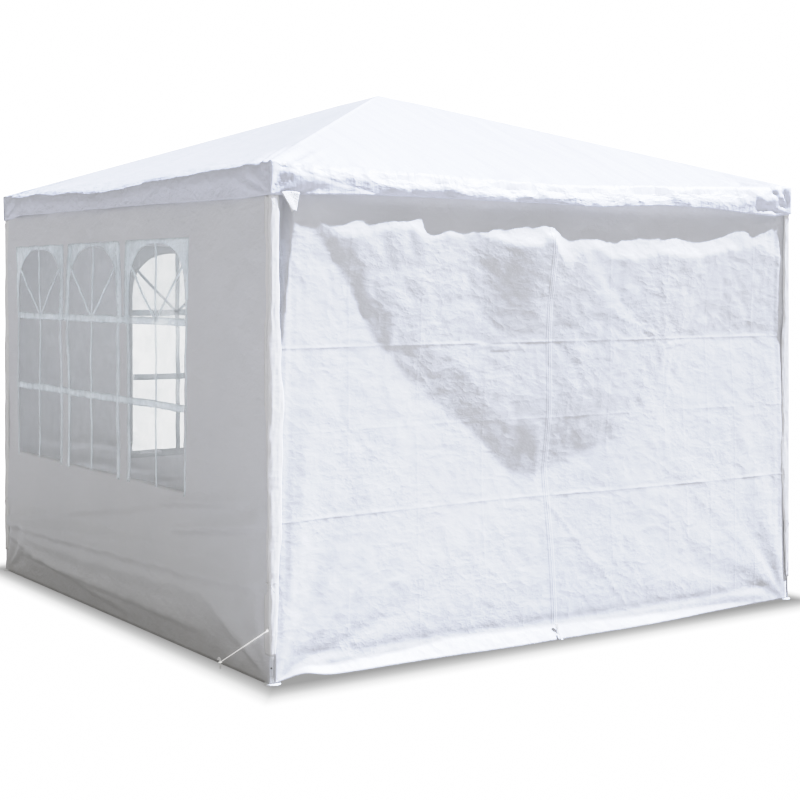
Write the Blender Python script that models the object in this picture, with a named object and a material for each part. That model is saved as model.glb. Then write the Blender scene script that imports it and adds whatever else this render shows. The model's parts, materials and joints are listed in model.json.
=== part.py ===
# Square marquee party tent: a frame of steel tubes, a pyramid roof cover and four hung walls.
# Metres, +Z up. The origin is on the ground under the peak, and the door wall faces -Y.

import math

import bmesh
import bpy
from mathutils import Matrix, Vector

# Driving sizes
ROOF_HALF = 1.500  # half the width of the roof cover, outside
EAVE_Z = 2.064  # top of the roof cover at its four corners
PEAK_Z = 2.578  # top of the roof cover over the peak
VALANCE_BOTTOM_Z = 1.937
LEG_AT = 1.470  # each leg's centre from the tent's middle, along X and along Y
CLOTH = 0.003  # thickness that every cover and wall is given
TUBE_R = 0.0125
GAP = 0.0004  # left between pieces that touch

# Sizes that follow from the fit of one tube in the next
SIDES = 16
FLAT = math.cos(math.pi / SIDES)  # a round of 16 sides is this much slimmer across its flats
BORE_R = (TUBE_R + GAP) / FLAT
SOCKET_R = 0.0160
CORE_R = 0.0152  # the ball in the middle of a corner fitting
HUB_R = 0.027  # the drum in the middle of the peak fitting
HUB_BOTTOM, HUB_TOP = Vector((0, 0, -0.022)), Vector((0, 0, 0.0072))
ARM_START, ARM_LENGTH = 0.022, 0.078
HIP_START, HIP_LENGTH = 0.040, 0.098
HUB_ARM_START = 0.020
BORE_OVERRUN = 0.020  # a bore's cutter runs this far out of its arm
HALF_SLEEVE = 0.045  # of the sleeve where two tubes of a beam or a rafter meet

# The roof's slope, and the height at which its frame then lies
SIDE_SLOPE = (PEAK_Z - EAVE_Z) / ROOF_HALF
SIDE_COS = math.cos(math.atan(SIDE_SLOPE))
FRAME_Z = PEAK_Z - LEG_AT * SIDE_SLOPE - (CLOTH + SOCKET_R + 1.5 * GAP) / SIDE_COS
HUB_Z = FRAME_Z + LEG_AT * SIDE_SLOPE
BEAM_DROOP = 0.040  # how far an eave beam sags at its middle joint
COVER_DROOP = 0.034
ROOF_SAG = 0.022  # dip of the cover between two hip rafters
COVER_STEPS = 12  # along one side
COVER_REACHES = [0.02, 0.10, 0.22, 0.34, 0.46, 0.58, 0.70, 0.80, 0.90, 1.0]  # 0 peak, 1 eave

# Legs and feet
FOOT_PLATE_R, FOOT_PLATE_T = 0.035, 0.004
FOOT_SOCKET_TOP = 0.030
FOOT_RIM = 0.0015  # rounds the plate's edge and its foot of the socket
LEG_JOINT_Z = 1.000
LEG_SOCKET = 0.070
SHOULDER_LOW, SHOULDER_TOP = 0.004, 0.012  # where the wide end of a leg tapers, above its socket

# Walls
WALL_IN = LEG_AT + SOCKET_R + GAP
WALL_HALF = LEG_AT + SOCKET_R - GAP
WALL_BOTTOM, WALL_TOP = 0.006, 2.005
CORNER_CUT_W, CORNER_CUT_TOP = 0.034, 0.225  # the fabric is drawn back here, so the foot shows
FLARE_TOP, FLARE = 0.30, 0.042
DOOR_ROWS = [WALL_BOTTOM, 0.05, 0.10, 0.16, 0.22, FLARE_TOP, WALL_TOP]
DOOR_COLUMNS = 10
ZIP_X, ZIP_W, ZIP_PROUD = -0.050, 0.038, 0.0005

# Windows, placed along a wall as seen from outside
WINDOW_CENTRE, WINDOW_PITCH = -0.280, 0.700
WINDOW_HALF, WINDOW_BOTTOM, WINDOW_TOP = 0.277, 0.630, 1.765
BAND_W = 0.055  # pale tape round each window
FILM_T = 0.0015
ARCH_STEPS = 16

# Guy ropes and pegs
ROPE_R = 0.002
KNOT_R, KNOT_Z, KNOT_OUT = 0.0055, 0.214, 0.0215
PEG_R, PEG_OUT, PEG_ALONG, PEG_TOP = 0.0035, 1.5255, 0.335, 0.042
PEG_HOOK_R = 0.010
ROPE_END_Z = 0.026

CORNERS = {
    "front_left": (-1, -1),
    "front_right": (1, -1),
    "back_left": (-1, 1),
    "back_right": (1, 1),
}
SIDES_OF_TENT = {"front": 0.0, "right": 90.0, "back": 180.0, "left": -90.0}


def clear_scene():
    for thing in list(bpy.data.objects):
        bpy.data.objects.remove(thing)


def material(name, colour, roughness, metallic=0.0, alpha=1.0):
    made = bpy.data.materials.new(name)
    made.use_nodes = True
    shader = made.node_tree.nodes["Principled BSDF"]
    shader.inputs["Base Color"].default_value = (*colour, 1.0)
    shader.inputs["Roughness"].default_value = roughness
    shader.inputs["Metallic"].default_value = metallic
    shader.inputs["Alpha"].default_value = alpha
    return made


def add(name, bm, finish, smooth=False):
    """Turns a bmesh into a named object with its finish."""
    bmesh.ops.recalc_face_normals(bm, faces=bm.faces)
    mesh = bpy.data.meshes.new(name)
    bm.to_mesh(mesh)
    bm.free()
    if smooth:
        mesh.shade_smooth()
        mesh.set_sharp_from_angle(angle=math.radians(35))
    thing = bpy.data.objects.new(name, mesh)
    bpy.context.scene.collection.objects.link(thing)
    if finish:
        mesh.materials.append(finish)
    return thing


def hide_cutter(thing):
    thing.hide_render = True
    thing.display_type = "WIRE"
    return thing


def boolean(thing, other, operation):
    """Joins other to thing, or cuts it out, and keeps other as a hidden guide."""
    hide_cutter(other)
    modifier = thing.modifiers.new(operation.lower(), "BOOLEAN")
    modifier.operation = operation
    modifier.object = other
    modifier.solver = "EXACT"
    return thing


# Round pieces

def turned(name, profile, finish, at=(0, 0, 0)):
    """A solid of revolution about Z from (radius, height) points that start and end on the axis."""
    bm = bmesh.new()
    points = [bm.verts.new((radius, 0, height)) for radius, height in profile]
    edges = [bm.edges.new(pair) for pair in zip(points, points[1:])]
    bmesh.ops.spin(
        bm,
        geom=points + edges,
        cent=(0, 0, 0),
        axis=(0, 0, 1),
        angle=2 * math.pi,
        steps=SIDES,
        use_merge=True,
    )
    bmesh.ops.remove_doubles(bm, verts=bm.verts, dist=1e-5)
    thing = add(name, bm, finish, smooth=True)
    thing.location = at
    return thing


def bridge(bm, upper, lower):
    for index, point in enumerate(upper):
        after = (index + 1) % len(upper)
        bm.faces.new((point, lower[index], lower[after], upper[after]))


def rod(name, points, radius, finish, sides=SIDES):
    """A round bar through its points, closed at both ends."""
    points = [Vector(point) for point in points]
    bm = bmesh.new()
    rings = []
    for index, point in enumerate(points):
        before, after = points[max(index - 1, 0)], points[min(index + 1, len(points) - 1)]
        turn = (after - before).to_track_quat("Z", "Y").to_matrix().to_4x4()
        made = bmesh.ops.create_circle(bm, segments=sides, radius=radius)["verts"]
        bmesh.ops.transform(bm, matrix=Matrix.Translation(point) @ turn, verts=made)
        rings.append(made)
    for low, high in zip(rings, rings[1:]):
        bridge(bm, high, low)
    bm.faces.new(rings[0])
    bm.faces.new(rings[-1])
    return add(name, bm, finish, smooth=True)


def ball(name, centre, radius, finish):
    bm = bmesh.new()
    bmesh.ops.create_uvsphere(bm, u_segments=SIDES, v_segments=8, radius=radius)
    bmesh.ops.translate(bm, vec=centre, verts=bm.verts)
    return add(name, bm, finish, smooth=True)


def ring(name, centre, radius, thickness, finish, steps=SIDES, sides=8):
    """A round loop of cord about a vertical axis."""
    bm = bmesh.new()
    section = bmesh.ops.create_circle(bm, segments=sides, radius=thickness)["verts"]
    bmesh.ops.rotate(
        bm, cent=(0, 0, 0), matrix=Matrix.Rotation(math.pi / 2, 3, "X"), verts=section
    )
    bmesh.ops.translate(bm, vec=(radius, 0, 0), verts=section)
    bmesh.ops.spin(
        bm,
        geom=bm.verts[:] + bm.edges[:],
        cent=(0, 0, 0),
        axis=(0, 0, 1),
        angle=2 * math.pi,
        steps=steps,
        use_merge=True,
    )
    bmesh.ops.remove_doubles(bm, verts=bm.verts, dist=1e-6)
    bmesh.ops.translate(bm, vec=centre, verts=bm.verts)
    return add(name, bm, finish, smooth=True)


# The tube frame

def corner_point(signs, z):
    return Vector((signs[0] * LEG_AT, signs[1] * LEG_AT, z))


def beam_direction(signs, axis):
    """From a corner fitting towards the sagging middle joint of the beam along axis 0 (X) or 1 (Y)."""
    direction = Vector((0, 0, -BEAM_DROOP))
    direction[axis] = -signs[axis] * LEG_AT
    return direction.normalized()


def hip_direction(signs):
    return Vector((-signs[0], -signs[1], SIDE_SLOPE)).normalized()


def add_arms(body, centre, arms):
    """Joins round arms to a fitting's body and bores each for its tube. An arm is a direction,
    where the arm starts, where its bore starts, and its length."""
    for count, (direction, start, _, length) in enumerate(arms):
        ends = [centre + direction * start, centre + direction * length]
        boolean(body, rod(f"{body.name}.arm{count}", ends, SOCKET_R, None), "UNION")
    for count, (direction, _, start, length) in enumerate(arms):
        ends = [centre + direction * start, centre + direction * (length + BORE_OVERRUN)]
        boolean(body, rod(f"{body.name}.bore{count}", ends, BORE_R, None), "DIFFERENCE")


def build_corner(name, signs, steel, plastic):
    centre = corner_point(signs, FRAME_Z)
    arms = [
        (Vector((0, 0, -1)), 0, ARM_START, ARM_LENGTH),
        (beam_direction(signs, 0), 0, ARM_START, ARM_LENGTH),
        (beam_direction(signs, 1), 0, ARM_START, ARM_LENGTH),
        (hip_direction(signs), 0, HIP_START, HIP_LENGTH),
    ]
    add_arms(ball(f"corner_fitting_{name}", centre, CORE_R, steel), centre, arms)
    build_leg(name, signs, steel, plastic)


def build_leg(name, signs, steel, plastic):
    base = corner_point(signs, 0)
    foot = [
        (0, 0),
        (FOOT_PLATE_R - FOOT_RIM, 0),
        (FOOT_PLATE_R, FOOT_RIM),
        (FOOT_PLATE_R - FOOT_RIM, FOOT_PLATE_T),
        (SOCKET_R + 2 * FOOT_RIM, FOOT_PLATE_T + FOOT_RIM),
        (SOCKET_R, FOOT_PLATE_T + 3 * FOOT_RIM),
        (SOCKET_R, FOOT_SOCKET_TOP),
        (BORE_R, FOOT_SOCKET_TOP),
        (BORE_R, FOOT_PLATE_T),
        (0, FOOT_PLATE_T),
    ]
    turned(f"foot_plate_{name}", foot, plastic, base)
    bottom = FOOT_PLATE_T + GAP
    socket_floor = LEG_JOINT_Z + LEG_SOCKET
    lower = [(0, bottom), (TUBE_R, bottom), (TUBE_R, socket_floor - GAP), (0, socket_floor - GAP)]
    turned(f"leg_lower_{name}", lower, steel, base)
    top = FRAME_Z - ARM_START - GAP
    upper = [
        (0, socket_floor),
        (BORE_R, socket_floor),
        (BORE_R, LEG_JOINT_Z),
        (SOCKET_R, LEG_JOINT_Z),
        (SOCKET_R, socket_floor + SHOULDER_LOW),
        (TUBE_R, socket_floor + SHOULDER_TOP),
        (TUBE_R, top),
        (0, top),
    ]
    turned(f"leg_upper_{name}", upper, steel, base)


def build_eave_beam(side, steel):
    """Two tubes that meet in a sleeve at mid span, where the beam sags a little."""
    turn = Matrix.Rotation(math.radians(SIDES_OF_TENT[side]), 3, "Z")
    left, right = corner_point((-1, -1), FRAME_Z), corner_point((1, -1), FRAME_Z)
    middle = Vector((0, -LEG_AT, FRAME_Z - BEAM_DROOP))
    inset = ARM_START + GAP
    ends = [end + (middle - end).normalized() * inset for end in (left, right)]
    route = [turn @ point for point in (ends[0], middle, ends[1])]
    beam = rod(f"eave_beam_{side}", route, TUBE_R, steel)
    half = Vector((HALF_SLEEVE, 0, 0))
    ends = [turn @ (middle - half), turn @ (middle + half)]
    boolean(beam, rod(f"{beam.name}.sleeve", ends, SOCKET_R - GAP, None), "UNION")


def build_hip_rafter(name, signs, steel):
    corner, hub = corner_point(signs, FRAME_Z), Vector((0, 0, HUB_Z))
    up = hip_direction(signs)
    start = corner + up * (HIP_START + GAP)
    end = hub - up * (HIP_START + GAP)
    joint = (start + end) / 2
    rafter = rod(f"hip_rafter_{name}", [start, end], TUBE_R, steel)
    ends = [joint - up * HALF_SLEEVE, joint + up * HALF_SLEEVE]
    boolean(rafter, rod(f"{rafter.name}.sleeve", ends, SOCKET_R - GAP, None), "UNION")


def build_frame(steel, plastic):
    for name, signs in CORNERS.items():
        build_corner(name, signs, steel, plastic)
        build_hip_rafter(name, signs, steel)
    for side in SIDES_OF_TENT:
        build_eave_beam(side, steel)
    hub = Vector((0, 0, HUB_Z))
    body = rod("peak_fitting", [hub + HUB_BOTTOM, hub + HUB_TOP], HUB_R, steel)
    starts = (HUB_ARM_START, HIP_START, HIP_LENGTH)
    add_arms(body, hub, [(-hip_direction(signs), *starts) for signs in CORNERS.values()])


# The roof cover

def roof_height(reach, share):
    """Height of the cover's outside at reach (0 peak, 1 eave) and share (-1 to 1 across a side)."""
    between_hips = (1 - share * share) ** 2
    sag = ROOF_SAG * math.sin(math.pi * reach) ** 2 + COVER_DROOP * reach**3
    return PEAK_Z - (PEAK_Z - EAVE_Z) * reach - sag * between_hips


def cover_ring(bm, reach, lowered=0.0):
    """One square ring of the cover, counter-clockwise. lowered runs from 0 at the eave to 1 at the
    bottom of the valance."""
    points = []
    for quarter in range(4):
        turn = Matrix.Rotation(quarter * math.pi / 2, 3, "Z")
        for step in range(COVER_STEPS):
            share = -1 + 2 * step / COVER_STEPS
            height = roof_height(reach, share) * (1 - lowered) + VALANCE_BOTTOM_Z * lowered
            place = Vector((share * ROOF_HALF * reach, -ROOF_HALF * reach, height))
            points.append(bm.verts.new(turn @ place))
    return points


def build_roof_cover(fabric):
    bm = bmesh.new()
    rings = [cover_ring(bm, reach) for reach in COVER_REACHES]
    rings += [cover_ring(bm, 1.0, lowered) for lowered in (0.5, 1.0)]
    peak = bm.verts.new((0, 0, PEAK_Z))
    for index, point in enumerate(rings[0]):
        bm.faces.new((peak, point, rings[0][(index + 1) % len(rings[0])]))
    for upper, lower in zip(rings, rings[1:]):
        bridge(bm, upper, lower)
    cover = add("roof_cover", bm, fabric)
    shell = cover.modifiers.new("thickness", "SOLIDIFY")
    shell.thickness = CLOTH
    shell.offset = -1
    shell.use_even_offset = True
    shell.use_quality_normals = True


# The walls. Each is drawn as the front one, its outside facing -Y, then turned to its side.

def side_turn(side):
    return Matrix.Rotation(math.radians(SIDES_OF_TENT[side]), 4, "Z")


def slab(name, columns, rows, outside_y, thickness, finish):
    """A sheet over columns (x) and rows (z). outside_y(x, z) is its outer face."""
    bm = bmesh.new()
    grid = [[bm.verts.new((x, outside_y(x, z), z)) for x in columns] for z in rows]
    faces = []
    for low, high in zip(grid, grid[1:]):
        for index in range(len(columns) - 1):
            faces.append(
                bm.faces.new((low[index], low[index + 1], high[index + 1], high[index]))
            )
    back = bmesh.ops.extrude_face_region(bm, geom=faces)["geom"]
    moved = [item for item in back if isinstance(item, bmesh.types.BMVert)]
    bmesh.ops.translate(bm, vec=(0, thickness, 0), verts=moved)
    return add(name, bm, finish)


def prism(name, outline, front_y, back_y):
    """An outline of (x, z) points run from front_y to back_y, as a hidden cutter."""
    bm = bmesh.new()
    front = bm.faces.new([bm.verts.new((x, front_y, z)) for x, z in outline])
    run = bmesh.ops.extrude_face_region(bm, geom=[front])["geom"]
    moved = [item for item in run if isinstance(item, bmesh.types.BMVert)]
    bmesh.ops.translate(bm, vec=(0, back_y - front_y, 0), verts=moved)
    return add(name, bm, None)


def box(name, x0, x1, y0, y1, z0, z1, finish):
    return slab(name, [x0, x1], [z0, z1], lambda x, z: y0, y1 - y0, finish)


def flare_at(x, z):
    """How far the door wall's skirt stands out near the ground, nothing at the legs and the zip."""
    if z >= FLARE_TOP:
        return 0.0
    across = math.sin(math.pi * (x + WALL_HALF) / (2 * WALL_HALF)) ** 2
    return FLARE * (1 - z / FLARE_TOP) ** 2 * across


def door_outside(x, z):
    return -(WALL_IN + CLOTH) - flare_at(x, z)


def even_steps(start, end, count):
    return [start + (end - start) * step / count for step in range(count + 1)]


def cut_corner(wall, x_edge, inward):
    """Cuts the fabric back from the leg at a bottom corner."""
    x0, x1 = sorted((x_edge - inward * 0.01, x_edge + inward * CORNER_CUT_W))
    cutter = box(
        f"{wall.name}.cut{'_left' if inward > 0 else '_right'}",
        x0, x1, -WALL_IN - 0.1, -WALL_IN + 0.05, -0.05, CORNER_CUT_TOP, None,
    )
    boolean(wall, cutter, "DIFFERENCE")


def zip_outside(z):
    """Outer face of the zip, which runs straight between the rows of the wall."""
    for low, high in zip(DOOR_ROWS, DOOR_ROWS[1:]):
        if z <= high:
            share = (z - low) / (high - low)
            face = (1 - share) * door_outside(ZIP_X, low) + share * door_outside(ZIP_X, high)
            return face - ZIP_PROUD
    return door_outside(ZIP_X, z) - ZIP_PROUD


def build_door_wall(fabric, zip_finish, metal):
    """Two curtains that meet at a zip, a little left of the middle as the photo shows."""
    zip_left, zip_right = ZIP_X - ZIP_W / 2, ZIP_X + ZIP_W / 2
    spans = {"left": (-WALL_HALF, zip_left - GAP), "right": (zip_right + GAP, WALL_HALF)}
    for side, (start, end) in spans.items():
        columns = even_steps(start, end, DOOR_COLUMNS)
        curtain = slab(f"front_wall_{side}", columns, DOOR_ROWS, door_outside, CLOTH, fabric)
        if side == "left":
            cut_corner(curtain, start, 1)
        else:
            cut_corner(curtain, end, -1)
    slab(
        "door_zip",
        [zip_left, zip_right],
        DOOR_ROWS,
        lambda x, z: zip_outside(z),
        CLOTH + 2 * ZIP_PROUD,
        zip_finish,
    )
    build_zip_slider(metal)


def build_zip_slider(metal):
    """The slider rests near the foot of the zip, with its pull hanging from it."""
    slider = slab(
        "zip_slider",
        [ZIP_X - 0.006, ZIP_X + 0.006],
        [0.052, 0.072],
        lambda x, z: zip_outside(z) - GAP - 0.006,
        0.006,
        metal,
    )
    pull = slab(
        "zip_slider.pull",
        [ZIP_X - 0.004, ZIP_X + 0.004],
        [0.012, 0.050, 0.060],
        lambda x, z: zip_outside(z) - GAP - 0.0045,
        0.003,
        None,
    )
    boolean(slider, pull, "UNION")


def arch_outline(centre, half, bottom, top):
    """A doorway outline: straight sides and a half-round head."""
    spring = top - half
    head = [
        (
            centre + half * math.cos(math.pi * step / ARCH_STEPS),
            spring + half * math.sin(math.pi * step / ARCH_STEPS),
        )
        for step in range(ARCH_STEPS + 1)
    ]
    return [(centre - half, bottom), (centre + half, bottom)] + head


def window_centres():
    return [WINDOW_CENTRE + WINDOW_PITCH * step for step in (-1, 0, 1)]


def build_window_wall(side, fabric, film):
    turn = side_turn(side)
    outside = WALL_IN + CLOTH
    wall = slab(
        f"{side}_wall",
        [-WALL_HALF, WALL_HALF],
        [WALL_BOTTOM, WALL_TOP],
        lambda x, z: -outside,
        CLOTH,
        fabric,
    )
    centres = window_centres()
    for count, centre in enumerate(centres):
        hole = prism(
            f"{side}_wall.hole{count}",
            arch_outline(centre, WINDOW_HALF, WINDOW_BOTTOM, WINDOW_TOP),
            -outside - 0.02,
            -outside + 0.03,
        )
        boolean(wall, hole, "DIFFERENCE")
    cut_corner(wall, -WALL_HALF, 1)
    cut_corner(wall, WALL_HALF, -1)
    margin = WINDOW_HALF + BAND_W
    sheet = box(
        f"{side}_window_film",
        centres[0] - margin,
        centres[-1] + margin,
        -WALL_IN + GAP,
        -WALL_IN + GAP + FILM_T,
        WINDOW_BOTTOM - BAND_W,
        WINDOW_TOP + BAND_W,
        film,
    )
    for thing in [wall, sheet] + [modifier.object for modifier in wall.modifiers]:
        thing.data.transform(turn)


# Guy ropes and pegs

def rope_ends(signs):
    """Knot on the leg, and foot on the peg. Front legs' ropes run back along the side walls, and
    back legs' ropes run in along the back wall."""
    knot = Vector((signs[0] * (LEG_AT + KNOT_OUT), signs[1] * LEG_AT, KNOT_Z))
    peg = Vector((signs[0] * PEG_OUT, signs[1] * (LEG_AT - PEG_ALONG), 0))
    if signs[1] > 0:
        knot = Vector((signs[0] * LEG_AT, signs[1] * (LEG_AT + KNOT_OUT), KNOT_Z))
        peg = Vector((signs[0] * (LEG_AT - PEG_ALONG), signs[1] * PEG_OUT, 0))
    return knot, peg


def build_rope(name, signs, cord):
    """A loop and a knot round the leg, the taut line, and an eye round the peg."""
    knot, peg = rope_ends(signs)
    leg = corner_point(signs, KNOT_Z)
    rope = ring(f"guy_rope_{name}", leg, TUBE_R + 2 * GAP + ROPE_R, ROPE_R, cord)
    boolean(rope, ball(f"{rope.name}.knot", knot, KNOT_R, None), "UNION")
    foot = Vector((peg.x, peg.y, ROPE_END_Z))
    eye_r = PEG_R + 2 * GAP + ROPE_R
    near_peg = foot + (knot - foot).normalized() * eye_r
    boolean(rope, rod(f"{rope.name}.line", [knot, near_peg], ROPE_R, None, 8), "UNION")
    boolean(rope, ring(f"{rope.name}.eye", foot, eye_r, ROPE_R, None, 12, 6), "UNION")


def build_peg(name, signs, steel):
    """What shows of a wire peg above the ground: an upright that bends over in a hook."""
    _, peg = rope_ends(signs)
    away = Vector((0, -signs[1], 0)) if signs[1] < 0 else Vector((-signs[0], 0, 0))
    centre = Vector((peg.x, peg.y, PEG_TOP - PEG_HOOK_R)) + away * PEG_HOOK_R
    bend = [
        centre + PEG_HOOK_R * (-away * math.cos(turn) + Vector((0, 0, math.sin(turn))))
        for turn in (math.pi * step / 8 for step in range(9))
    ]
    route = [Vector((peg.x, peg.y, 0.0))] + bend
    curve = bpy.data.curves.new(f"ground_peg_{name}", "CURVE")
    curve.dimensions = "3D"
    curve.bevel_depth = PEG_R
    curve.bevel_resolution = 2
    curve.use_fill_caps = True
    line = curve.splines.new("POLY")
    line.points.add(len(route) - 1)
    for point, place in zip(line.points, route):
        point.co = (*place, 1.0)
    curve.materials.append(steel)
    thing = bpy.data.objects.new(curve.name, curve)
    bpy.context.scene.collection.objects.link(thing)


def main():
    clear_scene()
    steel = material("white_steel", (0.86, 0.86, 0.85), 0.35)
    plastic = material("white_plastic", (0.88, 0.88, 0.87), 0.5)
    fabric = material("white_fabric", (0.88, 0.89, 0.91), 0.6)
    film = material("clear_film", (0.85, 0.88, 0.88), 0.15, alpha=0.35)
    zip_finish = material("zip_tape", (0.85, 0.86, 0.88), 0.6)
    metal = material("zip_metal", (0.8, 0.8, 0.8), 0.35, 1.0)
    cord = material("rope_cord", (0.9, 0.9, 0.88), 0.7)
    peg_steel = material("peg_steel", (0.6, 0.6, 0.6), 0.4, 1.0)

    build_frame(steel, plastic)
    build_roof_cover(fabric)
    build_door_wall(fabric, zip_finish, metal)
    for side in ("left", "back", "right"):
        build_window_wall(side, fabric, film)
    for name, signs in CORNERS.items():
        build_rope(name, signs, cord)
        build_peg(name, signs, peg_steel)


main()
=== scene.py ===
import json
import math

import bmesh
import bpy
import numpy as np
from mathutils import Matrix, Vector, noise

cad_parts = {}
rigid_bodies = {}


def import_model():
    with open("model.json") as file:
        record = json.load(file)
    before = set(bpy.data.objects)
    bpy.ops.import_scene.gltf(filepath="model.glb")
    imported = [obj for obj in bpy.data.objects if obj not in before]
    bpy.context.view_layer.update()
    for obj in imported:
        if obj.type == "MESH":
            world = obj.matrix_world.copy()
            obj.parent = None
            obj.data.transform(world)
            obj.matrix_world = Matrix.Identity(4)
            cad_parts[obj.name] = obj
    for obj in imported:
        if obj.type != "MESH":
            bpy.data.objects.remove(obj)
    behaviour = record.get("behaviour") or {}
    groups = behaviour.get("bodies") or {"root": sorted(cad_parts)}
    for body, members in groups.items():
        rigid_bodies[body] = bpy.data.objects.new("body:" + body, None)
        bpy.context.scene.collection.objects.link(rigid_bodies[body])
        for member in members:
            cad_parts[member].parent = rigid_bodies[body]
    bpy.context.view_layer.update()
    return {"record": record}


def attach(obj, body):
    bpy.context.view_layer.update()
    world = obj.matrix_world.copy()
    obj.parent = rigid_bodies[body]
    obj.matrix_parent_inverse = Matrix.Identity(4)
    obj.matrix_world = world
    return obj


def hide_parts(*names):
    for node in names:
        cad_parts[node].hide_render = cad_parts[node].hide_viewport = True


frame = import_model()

scene = bpy.context.scene

tent = {
    "half": 1.5, "eave": 2.064, "peak": 2.578, "valanceBottom": 1.937, "legAt": 1.47,
    "wallAt": 1.4880, "wallHalf": 1.4856, "wallBottom": 0.006, "wallTop": 2.003,
    "clothThick": 0.0012,
}


# ---- small helpers -------------------------------------------------------------------
def ease(low, high, value):  # 0 below low, 1 above high, smooth between
    share = min(1.0, max(0.0, (value - low) / (high - low)))
    return share * share * (3 - 2 * share)


def hump(value, centre, width):  # a soft bump, 1 high
    return math.exp(-((value - centre) / width) ** 2)


def follow(points, value):  # height of a broken line at one place
    if value <= points[0][0]:
        return points[0][1]
    for (x0, y0), (x1, y1) in zip(points, points[1:]):
        if value <= x1:
            return y0 + (y1 - y0) * (value - x0) / (x1 - x0)
    return points[-1][1]


def cloudy(x, z, size, seed):  # soft noise, about -1 to 1
    return noise.noise(Vector((x / size, z / size, seed)))


def crumpled(x, z, size, seed):  # pillows between creases, 0 at a crease and 1 in the middle
    spread, _ = noise.voronoi(Vector((x / size, z / size, seed)))
    return min(1.0, (spread[1] - spread[0]) * 1.6)


def steps(low, high, gap, marks=(), width=0.004):  # even lines, with three close ones at each mark
    count = max(2, round((high - low) / gap))
    lines = [low + (high - low) * i / count for i in range(count + 1)]
    for mark in marks:
        lines = [line for line in lines if abs(line - mark) > 1.8 * width or line in (low, high)]
        lines += [mark - width, mark, mark + width]
    return sorted(lines)


# ---- camera, light and floor -----------------------------------------------------------
view = {"place": (-4.458, -6.761, 1.575), "turn": -34.22, "lens": 68.96, "shift": -0.1431,
        "reach": 3.0, "shoulder": ((0.2, 0.2), (0.4, 0.4), (0.6, 0.6), (0.72, 0.715), (0.9, 0.83), (1.1, 0.885),
                                   (1.35, 0.930), (1.8, 0.977))}


def makeCamera():
    camera = bpy.data.objects.new("photoCamera", bpy.data.cameras.new("photoCamera"))
    scene.collection.objects.link(camera)
    camera.location = view["place"]
    camera.rotation_euler = (math.radians(90), 0, math.radians(view["turn"]))
    camera.data.sensor_width = 36
    camera.data.lens = view["lens"]
    camera.data.shift_y = view["shift"]
    camera.data.clip_end = 200
    scene.camera = camera
    scene.view_settings.view_transform = "Standard"
    scene.view_settings.use_curve_mapping = True  # a soft shoulder, so the sunlit roof keeps its folds
    curves = scene.view_settings.curve_mapping
    curves.white_level = (view["reach"],) * 3
    for bright, shown in view["shoulder"]:
        curves.curves[3].points.new(bright / view["reach"], shown)
    curves.update()


light = {
    "sunFrom": (0.64, -0.19, 0.745), "sunPower": 5.9, "sunSoft": 1.2, "sunTint": (0.925, 1.01, 1.27),
    "sky": (1.0, 0.995, 0.985), "skyPower": 0.41, "insidePower": 21, "farAway": 3.2, "throughFilm": 1.12,
}


def addSun(name, towards, power, soft, colour=(1, 1, 1)):
    lamp = bpy.data.lights.new(name, "SUN")
    lamp.energy = power
    lamp.angle = math.radians(soft)
    lamp.color = colour
    thing = bpy.data.objects.new(name, lamp)
    scene.collection.objects.link(thing)
    thing.rotation_mode = "QUATERNION"
    thing.rotation_quaternion = Vector(towards).to_track_quat("Z", "Y")


def makeLight():
    addSun("keySun", light["sunFrom"], light["sunPower"], light["sunSoft"], light["sunTint"])
    glow = bpy.data.lights.new("insideGlow", "POINT")
    glow.energy = light["insidePower"]
    glow.shadow_soft_size = 0.6
    lamp = bpy.data.objects.new("insideGlow", glow)
    lamp.location = (0.1, 0.1, 1.35)
    scene.collection.objects.link(lamp)

    world = bpy.data.worlds.new("paleSky")
    scene.world = world
    world.use_nodes = True
    tree = world.node_tree
    tree.nodes.clear()
    sky = put(tree, "ShaderNodeBackground", Color=(*light["sky"], 1), Strength=light["skyPower"])
    plain = put(tree, "ShaderNodeBackground", Color=(1, 1, 1, 1))
    seen = put(tree, "ShaderNodeLightPath")
    mix = put(tree, "ShaderNodeMixShader")
    out = put(tree, "ShaderNodeOutputWorld")
    clear = sums(tree, "LESS_THAN", seen.outputs["Transparent Depth"], 0.5)
    glare = sums(tree, "MULTIPLY_ADD", clear, light["farAway"] - light["throughFilm"], light["throughFilm"])
    tree.links.new(glare, plain.inputs["Strength"])
    tree.links.new(seen.outputs["Is Camera Ray"], mix.inputs[0])
    tree.links.new(sky.outputs[0], mix.inputs[1])
    tree.links.new(plain.outputs[0], mix.inputs[2])
    tree.links.new(mix.outputs[0], out.inputs[0])


# ---- material helpers ------------------------------------------------------------------
def put(tree, kind, **settings):  # a node, with its inputs and options set by name
    node = tree.nodes.new(kind)
    for name, value in settings.items():
        if name in node.inputs:
            if hasattr(value, "is_output"):
                tree.links.new(value, node.inputs[name])
            else:
                node.inputs[name].default_value = value
        else:
            setattr(node, name, value)
    return node


def sums(tree, operation, first, second=0.0, third=None):
    node = put(tree, "ShaderNodeMath", operation=operation)
    for socket, value in zip(node.inputs, (first, second, third)):
        if value is None:
            continue
        if hasattr(value, "is_output"):
            tree.links.new(value, socket)
        else:
            socket.default_value = value
    return node.outputs[0]


def newGroup(name, inputs, outputs):
    tree = bpy.data.node_groups.new(name, "ShaderNodeTree")
    for label, kind, value in inputs:
        socket = tree.interface.new_socket(label, in_out="INPUT", socket_type=kind)
        if value is not None:
            socket.default_value = value
    for label, kind in outputs:
        tree.interface.new_socket(label, in_out="OUTPUT", socket_type=kind)
    return tree, tree.nodes.new("NodeGroupInput"), tree.nodes.new("NodeGroupOutput")


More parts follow.
